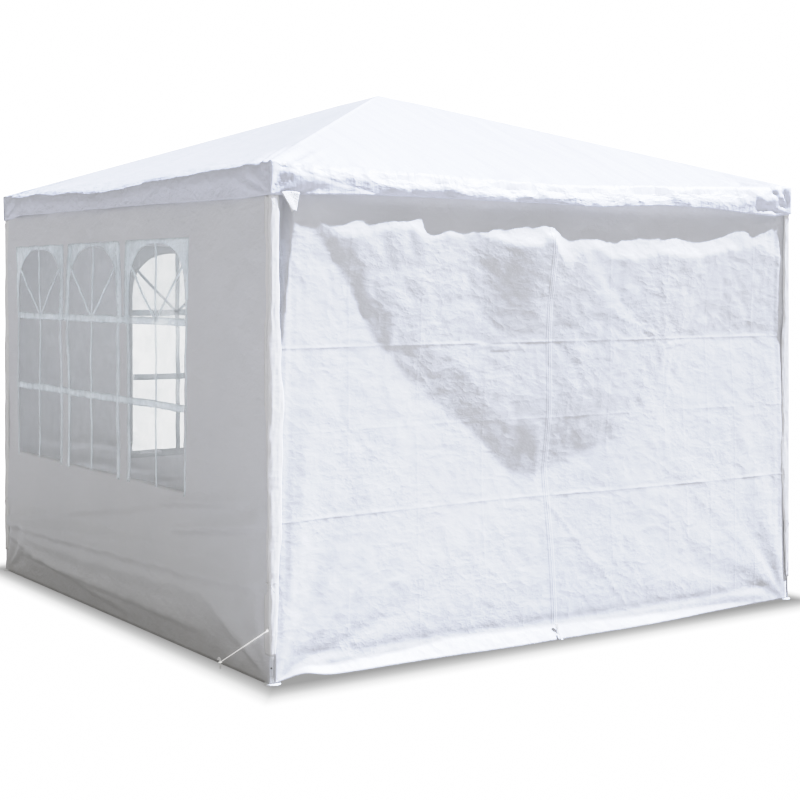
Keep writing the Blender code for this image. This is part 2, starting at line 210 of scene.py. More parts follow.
def makeCrinkleGroup():  # crumpled plastic sheet: facets of two sizes, in metres of height
    tree, given, out = newGroup(
        "sheetCrinkle",
        [("Vector", "NodeSocketVector", None), ("Size", "NodeSocketFloat", 0.03),
         ("Depth", "NodeSocketFloat", 0.001)],
        [("Height", "NodeSocketFloat"), ("Tone", "NodeSocketFloat")],
    )
    rate = sums(tree, "DIVIDE", 1.0, given.outputs["Size"])
    laid = put(tree, "ShaderNodeMapping", Vector=given.outputs["Vector"], Scale=(1.0, 1.55, 1.0),
               Rotation=(0, 0, 0.16))
    bend = put(tree, "ShaderNodeTexNoise", Vector=laid.outputs[0], Detail=2.0)
    tree.links.new(sums(tree, "MULTIPLY", rate, 0.45), bend.inputs["Scale"])
    push = put(tree, "ShaderNodeVectorMath", operation="SUBTRACT")
    tree.links.new(bend.outputs["Color"], push.inputs[0])
    push.inputs[1].default_value = (0.5, 0.5, 0.5)
    far = put(tree, "ShaderNodeVectorMath", operation="SCALE")
    tree.links.new(push.outputs[0], far.inputs[0])
    tree.links.new(sums(tree, "MULTIPLY", given.outputs["Size"], 2.2), far.inputs["Scale"])
    spot = put(tree, "ShaderNodeVectorMath", operation="ADD")
    tree.links.new(laid.outputs[0], spot.inputs[0])
    tree.links.new(far.outputs[0], spot.inputs[1])
    big = put(tree, "ShaderNodeTexVoronoi", Vector=spot.outputs[0])
    tree.links.new(rate, big.inputs["Scale"])
    small = put(tree, "ShaderNodeTexVoronoi", Vector=spot.outputs[0])
    tree.links.new(sums(tree, "MULTIPLY", rate, 2.3), small.inputs["Scale"])
    veins = put(tree, "ShaderNodeTexNoise", noise_type="RIDGED_MULTIFRACTAL", Vector=laid.outputs[0],
                Detail=3.0, Roughness=0.45, Lacunarity=2.1, Offset=0.95, Gain=2.0)
    tree.links.new(sums(tree, "MULTIPLY", rate, 0.55), veins.inputs["Scale"])
    total = sums(tree, "MULTIPLY_ADD", small.outputs["Distance"], 0.38, big.outputs["Distance"])
    total = sums(tree, "MULTIPLY_ADD", veins.outputs[0], 0.42, total)
    tree.links.new(sums(tree, "MULTIPLY", total, given.outputs["Depth"]), out.inputs["Height"])
    tree.links.new(big.outputs["Distance"], out.inputs["Tone"])
    return tree


def makeWeaveGroup():  # crossing flat tapes, in metres of height
    tree, given, out = newGroup(
        "tapeWeave",
        [("Vector", "NodeSocketVector", None), ("Pitch", "NodeSocketFloat", 0.003),
         ("Depth", "NodeSocketFloat", 0.00004)],
        [("Height", "NodeSocketFloat")],
    )
    parts = put(tree, "ShaderNodeSeparateXYZ", Vector=given.outputs["Vector"])
    turn = sums(tree, "DIVIDE", math.pi, given.outputs["Pitch"])
    across = sums(tree, "SINE", sums(tree, "MULTIPLY", parts.outputs["X"], turn))
    along = sums(tree, "SINE", sums(tree, "MULTIPLY", parts.outputs["Y"], turn))
    cross = sums(tree, "MULTIPLY", across, along)
    tree.links.new(sums(tree, "MULTIPLY", cross, given.outputs["Depth"]), out.inputs["Height"])
    return tree


def makeToneGroup():  # slow colour change and dust near the ground
    tree, given, out = newGroup(
        "clothTone",
        [("Vector", "NodeSocketVector", None), ("Colour", "NodeSocketColor", (0.9, 0.9, 0.9, 1)),
         ("Shade", "NodeSocketColor", (0.8, 0.8, 0.8, 1)), ("Patch", "NodeSocketFloat", 0.5),
         ("Dust", "NodeSocketFloat", 0.2)],
        [("Colour", "NodeSocketColor"), ("Mask", "NodeSocketFloat")],
    )
    place = put(tree, "ShaderNodeTexCoord")
    wide = put(tree, "ShaderNodeTexNoise", Vector=place.outputs["Object"], Detail=4.0)
    tree.links.new(sums(tree, "DIVIDE", 1.0, given.outputs["Patch"]), wide.inputs["Scale"])
    part = put(tree, "ShaderNodeMapRange")
    tree.links.new(wide.outputs[0], part.inputs["Value"])
    part.inputs["From Min"].default_value = 0.35
    part.inputs["From Max"].default_value = 0.7
    tint = put(tree, "ShaderNodeMix", data_type="RGBA")
    tree.links.new(part.outputs[0], tint.inputs[0])
    tree.links.new(given.outputs["Colour"], tint.inputs[6])
    tree.links.new(given.outputs["Shade"], tint.inputs[7])
    split = put(tree, "ShaderNodeSeparateXYZ", Vector=place.outputs["Object"])
    low = put(tree, "ShaderNodeMapRange", clamp=True)
    tree.links.new(split.outputs["Z"], low.inputs["Value"])
    for name, value in (("From Min", 0.0), ("From Max", 0.22), ("To Min", 1.0), ("To Max", 0.0)):
        low.inputs[name].default_value = value
    speck = put(tree, "ShaderNodeTexNoise", Vector=place.outputs["Object"], Scale=14.0, Detail=6.0)
    mask = sums(tree, "MULTIPLY", sums(tree, "MULTIPLY", low.outputs[0], speck.outputs[0]),
                given.outputs["Dust"])
    dusty = put(tree, "ShaderNodeMix", data_type="RGBA")
    tree.links.new(mask, dusty.inputs[0])
    tree.links.new(tint.outputs[2], dusty.inputs[6])
    dusty.inputs[7].default_value = (0.46, 0.42, 0.36, 1)
    tree.links.new(dusty.outputs[2], out.inputs["Colour"])
    tree.links.new(mask, out.inputs["Mask"])
    return tree


groups = {}


def useGroup(tree, name, **settings):
    node = tree.nodes.new("ShaderNodeGroup")
    node.node_tree = groups[name]
    for label, value in settings.items():
        if hasattr(value, "is_output"):
            tree.links.new(value, node.inputs[label])
        else:
            node.inputs[label].default_value = value
    return node


def startMaterial(name):
    material = bpy.data.materials.new(name)
    material.use_nodes = True
    tree = material.node_tree
    return material, tree, tree.nodes["Principled BSDF"], put(tree, "ShaderNodeTexCoord")


cloth = {
    "colour": (0.835, 0.840, 0.855, 1), "shade": (0.810, 0.818, 0.838, 1), "patch": 0.45,
    "rough": 0.46, "crinkleSize": 0.032, "crinkleDepth": 0.00070, "wideSize": 0.105,
    "wideDepth": 0.0019, "slackMore": 0.12, "weavePitch": 0.0032, "weaveDepth": 0.00005, "dust": 0.35,
}


def makeClothMaterial(name, crinkle=1.0, eave=None, colour=None):
    material, tree, shader, place = startMaterial(name)
    where = place.outputs["UV"]
    tone = useGroup(tree, "clothTone", Colour=colour or cloth["colour"], Shade=colour or cloth["shade"],
                    Patch=cloth["patch"], Dust=cloth["dust"])
    tree.links.new(tone.outputs["Colour"], shader.inputs["Base Color"])
    fineFolds = useGroup(tree, "sheetCrinkle", Vector=where, Size=cloth["crinkleSize"],
                         Depth=cloth["crinkleDepth"] * crinkle)
    wideFolds = useGroup(tree, "sheetCrinkle", Vector=where, Size=cloth["wideSize"],
                         Depth=cloth["wideDepth"] * crinkle)
    weave = useGroup(tree, "tapeWeave", Vector=where, Pitch=cloth["weavePitch"],
                     Depth=cloth["weaveDepth"])
    # the crumpling comes and goes over the sheet
    drift = put(tree, "ShaderNodeTexNoise", Vector=where, Scale=2.3, Detail=2.0)
    much = put(tree, "ShaderNodeMapRange")
    tree.links.new(drift.outputs[0], much.inputs["Value"])
    for label, value in (("From Min", 0.35), ("From Max", 0.65), ("To Min", 0.35), ("To Max", 1.25)):
        much.inputs[label].default_value = value
    loose = put(tree, "ShaderNodeAttribute", attribute_name="slack")
    more = sums(tree, "MULTIPLY_ADD", loose.outputs["Fac"], cloth["slackMore"], 1.0)
    height = sums(tree, "MULTIPLY", fineFolds.outputs["Height"], much.outputs[0])
    height = sums(tree, "ADD", height, wideFolds.outputs["Height"])
    if eave:  # the cover is much more crumpled along the eave
        parts = put(tree, "ShaderNodeSeparateXYZ", Vector=where)
        nearEave = put(tree, "ShaderNodeMapRange")
        tree.links.new(parts.outputs["Y"], nearEave.inputs["Value"])
        for label, value in (("From Min", eave - 0.20), ("From Max", eave - 0.03), ("To Min", 0.0), ("To Max", 1.0)):
            nearEave.inputs[label].default_value = value
        sharp = useGroup(tree, "sheetCrinkle", Vector=where, Size=0.060, Depth=0.0032)
        height = sums(tree, "MULTIPLY_ADD", sharp.outputs["Height"], nearEave.outputs[0], height)
        long = put(tree, "ShaderNodeMapping", Vector=where, Scale=(9.0, 1.3, 1.0), Rotation=(0, 0, 0.25))
        streaks = put(tree, "ShaderNodeTexNoise", Vector=long.outputs[0], Scale=1.0, Detail=4.0)
        height = sums(tree, "MULTIPLY_ADD", streaks.outputs[0], 0.016, height)
    height = sums(tree, "MULTIPLY_ADD", height, more, weave.outputs["Height"])
    bump = put(tree, "ShaderNodeBump", Strength=1.0, Distance=1.0, Height=height)
    tree.links.new(bump.outputs[0], shader.inputs["Normal"])
    shader.inputs["Roughness"].default_value = cloth["rough"]
    shader.inputs["IOR"].default_value = 1.45
    return material


film = {"colour": (0.90, 0.94, 0.95, 1), "alpha": 0.15, "rough": 0.14, "size": 0.11, "depth": 0.004}


def makeFilmMaterial():
    material, tree, shader, place = startMaterial("windowFilm")
    where = place.outputs["UV"]
    tone = useGroup(tree, "clothTone", Colour=film["colour"], Shade=(0.84, 0.89, 0.91, 1),
                    Patch=0.3, Dust=0.0)
    tree.links.new(tone.outputs["Colour"], shader.inputs["Base Color"])
    folds = useGroup(tree, "sheetCrinkle", Vector=where, Size=film["size"], Depth=film["depth"])
    bump = put(tree, "ShaderNodeBump", Strength=1.0, Distance=1.0, Height=folds.outputs["Height"])
    tree.links.new(bump.outputs[0], shader.inputs["Normal"])
    streak = put(tree, "ShaderNodeTexNoise", Vector=where, Scale=5.0, Detail=3.0)
    veil = put(tree, "ShaderNodeMapRange")
    tree.links.new(streak.outputs[0], veil.inputs["Value"])
    for label, value in (("From Min", 0.4), ("From Max", 0.75), ("To Min", film["alpha"]),
                         ("To Max", film["alpha"] * 1.6)):
        veil.inputs[label].default_value = value
    tree.links.new(veil.outputs[0], shader.inputs["Alpha"])
    shader.inputs["Roughness"].default_value = film["rough"]
    return material


def makeTapeMaterial(name, glow):
    material, tree, shader, place = startMaterial(name)
    where = place.outputs["UV"]
    tone = useGroup(tree, "clothTone", Colour=(0.90, 0.95, 0.985, 1), Shade=(0.84, 0.90, 0.94, 1),
                    Patch=0.12, Dust=0.1)
    tree.links.new(tone.outputs["Colour"], shader.inputs["Base Color"])
    folds = useGroup(tree, "sheetCrinkle", Vector=where, Size=0.022, Depth=0.0016)
    bump = put(tree, "ShaderNodeBump", Strength=1.0, Distance=1.0, Height=folds.outputs["Height"])
    tree.links.new(bump.outputs[0], shader.inputs["Normal"])
    worn = put(tree, "ShaderNodeMapping", Vector=where, Scale=(5.0, 2.6, 1.0))
    patch = put(tree, "ShaderNodeTexNoise", Vector=worn.outputs[0], Scale=1.0, Detail=3.0)
    cover = put(tree, "ShaderNodeMapRange")
    tree.links.new(patch.outputs[0], cover.inputs["Value"])
    for label, value in (("From Min", 0.36), ("From Max", 0.62), ("To Min", 0.36), ("To Max", 0.92)):
        cover.inputs[label].default_value = value
    tree.links.new(cover.outputs[0], shader.inputs["Alpha"])
    # painted glow: a faint bluish emission stands in for light shining through the tape
    shader.inputs["Emission Color"].default_value = (0.95, 0.98, 1, 1)
    shader.inputs["Emission Strength"].default_value = glow
    shader.inputs["Roughness"].default_value = 0.22
    return material


def makeSteelMaterial(name, colour, rough, grain=0.0001, metallic=0.0, glow=0.0):
    material, tree, shader, place = startMaterial(name)
    where = place.outputs["Object"]
    tone = useGroup(tree, "clothTone", Colour=colour, Shade=tuple(c * 0.93 for c in colour[:3]) + (1,),
                    Patch=0.06, Dust=0.25)
    tree.links.new(tone.outputs["Colour"], shader.inputs["Base Color"])
    peel = put(tree, "ShaderNodeTexNoise", Vector=where, Scale=220.0, Detail=2.0)
    bump = put(tree, "ShaderNodeBump", Strength=1.0, Distance=1.0,
               Height=sums(tree, "MULTIPLY", peel.outputs[0], grain))
    tree.links.new(bump.outputs[0], shader.inputs["Normal"])
    patch = put(tree, "ShaderNodeTexNoise", Vector=where, Scale=30.0, Detail=4.0)
    level = put(tree, "ShaderNodeMapRange")
    tree.links.new(patch.outputs[0], level.inputs["Value"])
    level.inputs["To Min"].default_value = rough * 0.8
    level.inputs["To Max"].default_value = rough * 1.25
    tree.links.new(level.outputs[0], shader.inputs["Roughness"])
    shader.inputs["Metallic"].default_value = metallic
    # painted glow: a faint emission in the piece's own colour makes it read brighter in shade, though it is no lamp
    shader.inputs["Emission Color"].default_value = colour
    shader.inputs["Emission Strength"].default_value = glow
    return material


# dark, rise, white, power and the reaches shape the floor's painted contact shadow; lift is its painted glow for
# bounced light
ground = {"bounce": (0.322, 0.306, 0.280), "lift": (0.03, 0.26), "liftReach": (1.5, 2.0), "dark": 0.36, "rise": 0.72, "white": 2.2, "power": 4.0,
          "reachX": (1.488, 1.69), "reachY": (1.512, 1.79)}


def makeFloor():
    deck = bmesh.new()
    bmesh.ops.create_grid(deck, x_segments=1, y_segments=1, size=60)
    mesh = bpy.data.meshes.new("floor")
    deck.to_mesh(mesh)
    deck.free()
    floor = bpy.data.objects.new("floor", mesh)
    scene.collection.objects.link(floor)
    floor.location = (0, 0, 0)
    material, tree, shader, place = startMaterial("paleFloor")
    shader.inputs["Base Color"].default_value = (*ground["bounce"], 1)
    shader.inputs["Roughness"].default_value = 0.9
    shader.inputs["Specular IOR Level"].default_value = 0.1
    shader.inputs["Emission Color"].default_value = (1, 1, 1, 1)
    # the floor looks white, with a painted contact shadow that darkens it softly close round the walls, and throws back
    # less than it shows, with a faint painted glow for bounced light that is weaker near the walls
    seen = put(tree, "ShaderNodeLightPath")
    parts = put(tree, "ShaderNodeSeparateXYZ", Vector=place.outputs["Object"])
    shares = []
    for axis in "XY":
        away = put(tree, "ShaderNodeMapRange")
        tree.links.new(sums(tree, "ABSOLUTE", parts.outputs[axis]), away.inputs["Value"])
        away.inputs["From Min"].default_value, away.inputs["From Max"].default_value = ground["reach" + axis]
        shares.append(away.outputs[0])
    away = sums(tree, "MAXIMUM", *shares)
    # painted contact shadow: darkest at the walls, rising to white further out
    fade = sums(tree, "MULTIPLY", sums(tree, "POWER", away, ground["power"]), ground["white"])
    fade = sums(tree, "MULTIPLY_ADD", away, ground["rise"], fade)
    # painted glow for bounced light, weaker near the walls
    wide = sums(tree, "MAXIMUM", *(sums(tree, "ABSOLUTE", parts.outputs[axis]) for axis in "XY"))
    lift = put(tree, "ShaderNodeMapRange")
    tree.links.new(wide, lift.inputs["Value"])
    for label, value in zip(("From Min", "From Max", "To Min", "To Max"), (*ground["liftReach"], *ground["lift"])):
        lift.inputs[label].default_value = value
    tree.links.new(lift.outputs[0], shader.inputs["Emission Strength"])
    clear = sums(tree, "LESS_THAN", seen.outputs["Transparent Depth"], 0.5)
    veil = light["throughFilm"] / light["farAway"]
    fade = sums(tree, "MULTIPLY", fade, sums(tree, "MULTIPLY_ADD", clear, 1 - veil, veil))
    fade = sums(tree, "ADD", fade, ground["dark"])
    glow = put(tree, "ShaderNodeEmission", Strength=fade)
    mix = put(tree, "ShaderNodeMixShader")
    tree.links.new(seen.outputs["Is Camera Ray"], mix.inputs[0])
    tree.links.new(shader.outputs[0], mix.inputs[1])
    tree.links.new(glow.outputs[0], mix.inputs[2])
    tree.links.new(mix.outputs[0], tree.nodes["Material Output"].inputs[0])
    mesh.materials.append(material)


# ---- pieces ----------------------------------------------------------------------------
def finishPiece(name, shape, material, smooth=True, replaced=(), thick=None, offset=0.0):
    mesh = bpy.data.meshes.new(name)
    if smooth:
        for face in shape.faces:
            face.smooth = True
    shape.to_mesh(mesh)
    shape.free()
    piece = bpy.data.objects.new(name, mesh)
    scene.collection.objects.link(piece)
    mesh.materials.append(material)
    if thick:
        shell = piece.modifiers.new("thickness", "SOLIDIFY")
        shell.thickness = thick
        shell.offset = offset
    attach(piece, "root")
    if replaced:
        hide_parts(*replaced)
    return piece


def clothGrid(columns, rows, place, slack=None):  # a sheet with its points at given columns and rows, and its cut as UV
    shape = bmesh.new()
    across, up = len(columns) - 1, len(rows) - 1
    bmesh.ops.create_grid(shape, x_segments=across, y_segments=up, size=1)
    flat = shape.loops.layers.uv.new("cut")
    loose = shape.verts.layers.float.new("slack") if slack else None
    spot = {}
    for point in shape.verts:
        i = round((point.co.x + 1) / 2 * across)
        j = round((point.co.y + 1) / 2 * up)
        spot[point] = (columns[i], rows[j])
    for face in shape.faces:
        for loop in face.loops:
            loop[flat].uv = spot[loop.vert]
    for point, (x, z) in spot.items():
        point.co = place(x, z)
        if slack:
            point[loose] = slack(x, z)
    return shape


def turnedAt(side):  # the front faces -Y, and the others are turned from it
    return Matrix.Rotation(math.radians({"front": 0, "right": 90, "back": 180, "left": -90}[side]), 4, "Z")


# ---- roof cover -------------------------------------------------------------------------
roof = {
    "sag": 0.022, "droop": 0.034, "slant": 1.586, "beamAt": 2.0536, "beamDroop": 0.040, "beamOver": 0.0172, "acrossSteps": 150, "downSteps": 40, "eaveSteps": 16,
    "valanceSteps": 14, "valanceOut": 0.018, "round": 0.004, "bigFold": 0.029, "smallFold": 0.011,
    "crest": {
        "front": ((-1.5, 2.064), (-1.308, 2.061), (-1.088, 2.049), (-0.822, 2.008), (-0.657, 2.018),
                  (-0.409, 2.008), (-0.11, 2.004), (0.424, 2.000), (0.886, 2.014), (1.3, 2.040), (1.5, 2.064)),
        "left": ((-1.5, 2.064), (-0.668, 2.046), (-0.135, 2.026), (0.297, 2.046), (0.749, 2.056), (1.5, 2.064)),
        "back": ((-1.5, 2.064), (-0.9, 2.030), (-0.3, 2.016), (0.4, 2.028), (1.0, 2.040), (1.5, 2.064)),
        "right": ((-1.5, 2.064), (-0.8, 2.044), (0.1, 2.018), (0.8, 2.030), (1.5, 2.064)),
    },
    "curl": ((-1.5, 0.0), (-1.05, 0.0), (-1.0, 0.012), (-0.85, 0.040), (-0.55, 0.034), (-0.45, 0.012), (-0.3, 0.042),
             (0.0, 0.038), (0.12, 0.006), (0.3, -0.004), (0.45, 0.010), (0.9, 0.006), (1.2, 0.012), (1.5, 0.0)),
    "bottom": {
        "front": ((-1.5, 1.932), (-1.23, 1.939), (-0.972, 1.945), (-0.683, 1.944), (-0.417, 1.940),
                  (-0.098, 1.939), (0.196, 1.930), (0.595, 1.951), (0.876, 1.946), (1.12, 1.931),
                  (1.373, 1.918), (1.5, 1.932)),
        "left": ((-1.5, 1.932), (-1.2, 1.950), (-0.668, 1.946), (0.404, 1.939), (1.258, 1.926), (1.5, 1.932)),
        "back": ((-1.5, 1.932), (-0.7, 1.944), (0.2, 1.934), (0.9, 1.946), (1.5, 1.932)),
        "right": ((-1.5, 1.932), (-0.9, 1.928), (0.0, 1.943), (0.8, 1.936), (1.5, 1.932)),
    },
}


def roofHeight(reach, share):
    low = roof["sag"] * math.sin(math.pi * reach) ** 2 + roof["droop"] * reach ** 3
    return (tent["peak"] - (tent["peak"] - tent["eave"]) * reach
            - low * (1 - share * share) ** 2)


def fan(x, z, atX, atZ, count, high, reach, seed):  # creases spreading from a tied corner
    dx, dz = abs(x - atX), abs(z - atZ)
    far = math.hypot(dx, dz)
    angle = math.atan2(dz, dx + 1e-6)
    wave = math.sin(angle * count + seed + 0.8 * math.sin(angle * count * 0.6 + 2 * seed))
    return high * wave * ease(0.0, reach * 0.3, far) * (1 - ease(reach * 0.4, reach, far))


def eaveFolds(x, along, seed):  # crumpled folds, measured along the cloth from the crest
    big = crumpled(x + 0.5 * along, along * 0.9, 0.31, seed) - 0.45
    small = crumpled(x - 0.4 * along, along, 0.085, seed + 3) - 0.45
    much = 0.35 + 0.65 * ease(-0.35, 0.35, cloudy(x, 0, 0.4, seed + 6))
    tiny = crumpled(x, along * 1.3 + 0.5 * x, 0.042, seed + 8) - 0.45
    return much * (roof["bigFold"] * big + roof["smallFold"] * small + 0.0022 * tiny)


def smoothPart(x, z, side):  # a smooth taut triangle under the crease by the near corner
    if side != "front":
        return 0.0
    return ease(0.0, 0.018, 2.062 - 0.215 * (x + 1.49) - z) * ease(-0.93, -1.06, x)


def coverPoint(share, down, side, seed):  # share -1..1 along the side; down 0..1 roof, then 1..2 valance
    half = tent["half"]
    corner = 1 - abs(share)
    beam = roof["beamAt"] - roof["beamDroop"] * (1 - min(1.0, abs(share * half) / tent["legAt"]))
    crest = max(follow(roof["crest"][side], share * half), beam - 0.017)
    if down <= 1:
        reach = max(down, 0.0005)
        x, y = share * reach * half, -reach * half
        z = roofHeight(reach, share) + (crest - roofHeight(1, share)) * ease(0.62, 1.0, reach) ** 1.5
        z += 0.0035 * math.exp(-(corner * reach * half / 0.013) ** 2) * ease(0.03, 0.1, reach)
        z += 0.004 * cloudy(x, y, 0.35, seed) * ease(0.1, 0.4, reach) * ease(0, 0.15, corner)
        along = (1 - reach) * roof["slant"]
        near = ease(0.19, 0.03, along)
        sign = -1
    else:
        drop = down - 1
        bottom = follow(roof["bottom"][side], share * half)
        lean = 1 - 0.5 * ease(-1.08, -1.16, share * half) if side == "front" else 0.55
        x, y = share * half, -half - roof["valanceOut"] * lean * drop * ease(0.0, 0.12, corner)
        y -= 0.004 * math.sin(x * 19 + 1.3 * math.sin(x * 5 + seed)) * drop * ease(0, 0.06, corner)
        z = crest + (bottom - crest) * drop
        along = (crest - bottom) * drop
        near = 1.0 - 0.35 * drop
        near *= 1 - 0.85 * smoothPart(share * half, z, side) * ease(-1.49, -1.38, share * half)
        sign = 1
    turn = math.radians(19 + 71 * ease(-0.03, 0.03, sign * along))
    off = eaveFolds(share * half, sign * along, seed) * near * ease(0.0, 0.05, corner) * (1.0 if side == "front" else 0.45)
    off -= roof["round"] * math.exp(-(along / 0.022) ** 2) * ease(0.0, 0.08, corner)
    # bulges and undersides of the front's hanging part
    if down > 1:
        curl = follow(roof["curl"], share * half) if side == "front" else 0.005 + 0.006 * cloudy(share, 0, 0.3, seed)
        off += 0.004 * smoothPart(share * half, z, side) * ease(0, 0.05, corner) * along / 0.12
        low = along - (0.042 + 0.024 * cloudy(share * half, 0, 0.12, seed + 4))
        off += 0.010 * hump(along, 0.045, 0.04) * ease(0, 0.1, corner) - curl * max(0.0, low) / 0.075
    edge = math.copysign(half, share)
    if along < 0.30 and corner < 0.25:
        off += fan(share * half, z, edge, 1.93, 13, 0.006, 0.34, seed) * ease(0, 0.01, corner)
    y, z = y - math.sin(turn) * off, z + math.cos(turn) * off
    # the cover rides over its eave beam
    over, beside = roof["beamOver"], y + tent["legAt"]
    if down <= 1 and beside < 0.16:
        if beside > 0:
            z = max(z, beam + over - 0.10 * max(0.0, beside - 0.006))
        elif beside > -0.86 * over:
            z = max(z, beam + math.sqrt(over * over - beside * beside))
        else:
            z = max(z, beam + 0.51 * over + (beside + 0.86 * over) * 1.7)
    return Vector((x, y, z))


def makeRoofCover(material):
    whole = bmesh.new()
    whole.loops.layers.uv.new("cut")
    whole.verts.layers.float.new("slack")
    count = roof["acrossSteps"]
    across = [(i / count * 2 - 1) * 0.65 + math.sin(math.pi * (i / count - 0.5)) * 0.35 for i in range(count + 1)]
    down = [0.86 * (i / roof["downSteps"]) ** 0.85 for i in range(roof["downSteps"])]
    down += [0.86 + 0.14 * i / roof["eaveSteps"] for i in range(roof["eaveSteps"] + 1)]
    down += [1 + (i + 1) / roof["valanceSteps"] for i in range(roof["valanceSteps"])]
    for number, side in enumerate(("front", "right", "back", "left")):
        panel = clothGrid(across, down, lambda s, d, n=number, k=side: coverPoint(s, d, k, 3.0 + 7 * n),
                          lambda s, d, k=side: -2 * smoothPart(s * 1.5, 2.05 - 0.115 * (d - 1), k) if d > 1 else 0.0)
        layer = panel.loops.layers.uv.active
        for face in panel.faces:
            for loop in face.loops:
                s, d = loop[layer].uv
                loop[layer].uv = (s * min(d, 1) * 1.5 + 4 * number,
                                  roof["slant"] * min(d, 1) + max(0, d - 1) * 0.127)
        panel.transform(turnedAt(side))
        mesh = bpy.data.meshes.new("panel")
        panel.to_mesh(mesh)
        panel.free()
        whole.from_mesh(mesh)
        bpy.data.meshes.remove(mesh)
    bmesh.ops.remove_doubles(whole, verts=whole.verts, dist=0.0009)
    bmesh.ops.recalc_face_normals(whole, faces=whole.faces)
    top = max(whole.faces, key=lambda f: f.calc_center_median().z)
    if top.normal.z < 0:
        bmesh.ops.reverse_faces(whole, faces=whole.faces)
    piece = finishPiece("roof_sheet", whole, material, replaced=["roof_cover"],
                        thick=tent["clothThick"])
    return piece


# ---- front wall -------------------------------------------------------------------------
front = {
    "gap": 0.0125, "zipAt": -0.05, "zipWide": 0.038,
    "foldRows": (0.635, 0.985, 1.325), "foldHigh": 0.0013, "topSlack": 0.018,
    "creases": (((-0.05, 0.60), (0.36, 0.12), 0.0030), ((0.66, 1.29), (0.86, 1.31), 0.004), ((0.72, 1.17), (0.83, 1.30), 0.003),
                ((0.66, 1.05), (0.70, 1.30), 0.003), ((-1.0, 0.30), (-0.80, 0.36), 0.003), ((-0.45, 1.31), (-0.1, 1.29), 0.005),
                ((0.30, 1.45), (0.62, 1.33), 0.004)),
    "hemHigh": ((-1.47, 0.012), (-1.3, 0.035), (-1.1, 0.043), (-0.85, 0.047), (-0.6, 0.068), (0.0, 0.062), (0.5, 0.046),
                (1.0, 0.030), (1.4, 0.015)),
    "hemKick": ((-1.47, 0.004), (-1.30, 0.032), (-0.9, 0.044), (-0.3, 0.044), (0.0, 0.038), (0.5, 0.034), (0.9, 0.016),
                (1.2, 0.004), (1.4, 0.0)),
    "foldColumns": (-1.11, -0.75, -0.40, 0.30, 0.65, 0.77, 0.93, 1.10, 1.24),
    "lit": 0.211, "mid": 0.15, "strip": 0.03, "tip": 0.02, "patch": -0.02, "band": 0.0, "flat": 0.19, "calm": 0.12,
    "x0": -1.4875, "cell": 0.0125, "cells": (238, 160), "shadeFall": 3.92,
    "bandEdge": ((-1.33, 1.96), (-1.29, 1.90), (-1.24, 1.76), (-1.10, 1.775), (-0.93, 1.80), (-0.80, 1.80), (-0.74, 1.755),
                 (-0.62, 1.78), (-0.46, 1.79), (-0.3, 1.75), (-0.13, 1.74), (-0.07, 1.79), (-0.02, 1.70), (0.06, 1.66),
                 (0.12, 1.71), (0.19, 1.755), (0.29, 1.70), (0.45, 1.685), (0.61, 1.72), (0.84, 1.70), (0.97, 1.73),
                 (1.11, 1.745), (1.29, 1.765), (1.37, 1.71), (1.49, 1.70)),
    "vLeft": ((-1.49, 2.0), (-1.32, 1.9), (-1.24, 1.74), (-1.13, 1.60), (-0.97, 1.33),
              (-0.75, 1.14), (-0.48, 0.95), (-0.24, 0.74), (-0.1, 0.71)),
    "vRight": ((-0.1, 0.71), (0.0, 0.73), (0.29, 0.82), (0.61, 1.08), (0.68, 1.32)),
}


def litShare(x, z):  # how much sun a place on the front wall should catch
    lit, mid = front["lit"], front["mid"]
    bend = 0.02 * cloudy(x, z, 0.07, 4.0)
    value = lit + 0.015 * cloudy(x, z, 0.5, 9.0)
    line, lean = (front["vLeft"], 0.7) if x < -0.1 else (front["vRight"], 0.9)
    above = (z - follow(line, x)) * lean + bend * 0.4
    within = ease(-0.01, 0.02 if x < -0.1 else 0.06, above)
    if x > 0.68:
        within *= 1 - ease(0.66, 0.75, x + bend)
    middle = mid + 0.012 * cloudy(x, z, 0.18, 2.0)
    if x < -0.1:
        middle += (front["strip"] - mid) * (1 - ease(0.10, 0.19, above + bend * 2))
    middle += (front["tip"] - mid) * hump(x, 0.10, 0.26) * hump(z, 0.88, 0.20)
    # above the upper fold: two clouds, a dim patch between them and a bright streak
    high = follow(((-1.3, 0.135), (-0.78, 0.135), (-0.72, 0.17), (-0.4, 0.17), (0.2, 0.125), (1.5, 0.13)), x)
    high += (front["patch"] - high) * hump(x, -0.27, 0.19) * hump(z, 1.62, 0.28)
    high += (0.09 - high) * hump(x, 0.05, 0.09)
    streak = x - follow(((-0.3, 0.1), (0.0, 0.17), (0.36, 0.52)), 1.68 - z)
    high += 0.095 * hump(streak, 0, 0.045) * ease(-0.1, 0.2, x)
    high += (0.07 - high) * hump(streak, 0.085, 0.05) * ease(1.50, 1.36, z) * ease(0.2, 0.4, x)
    if x < -0.9:
        high += (front["strip"] - 0.05 - high) * (1 - ease(0.08, 0.15, above + bend))
    upper = ease(1.30, 1.36, z)
    middle += (high - middle) * upper
    if x > 0.68:
        within = max(within, upper)
    value += (middle - value) * within
    return value


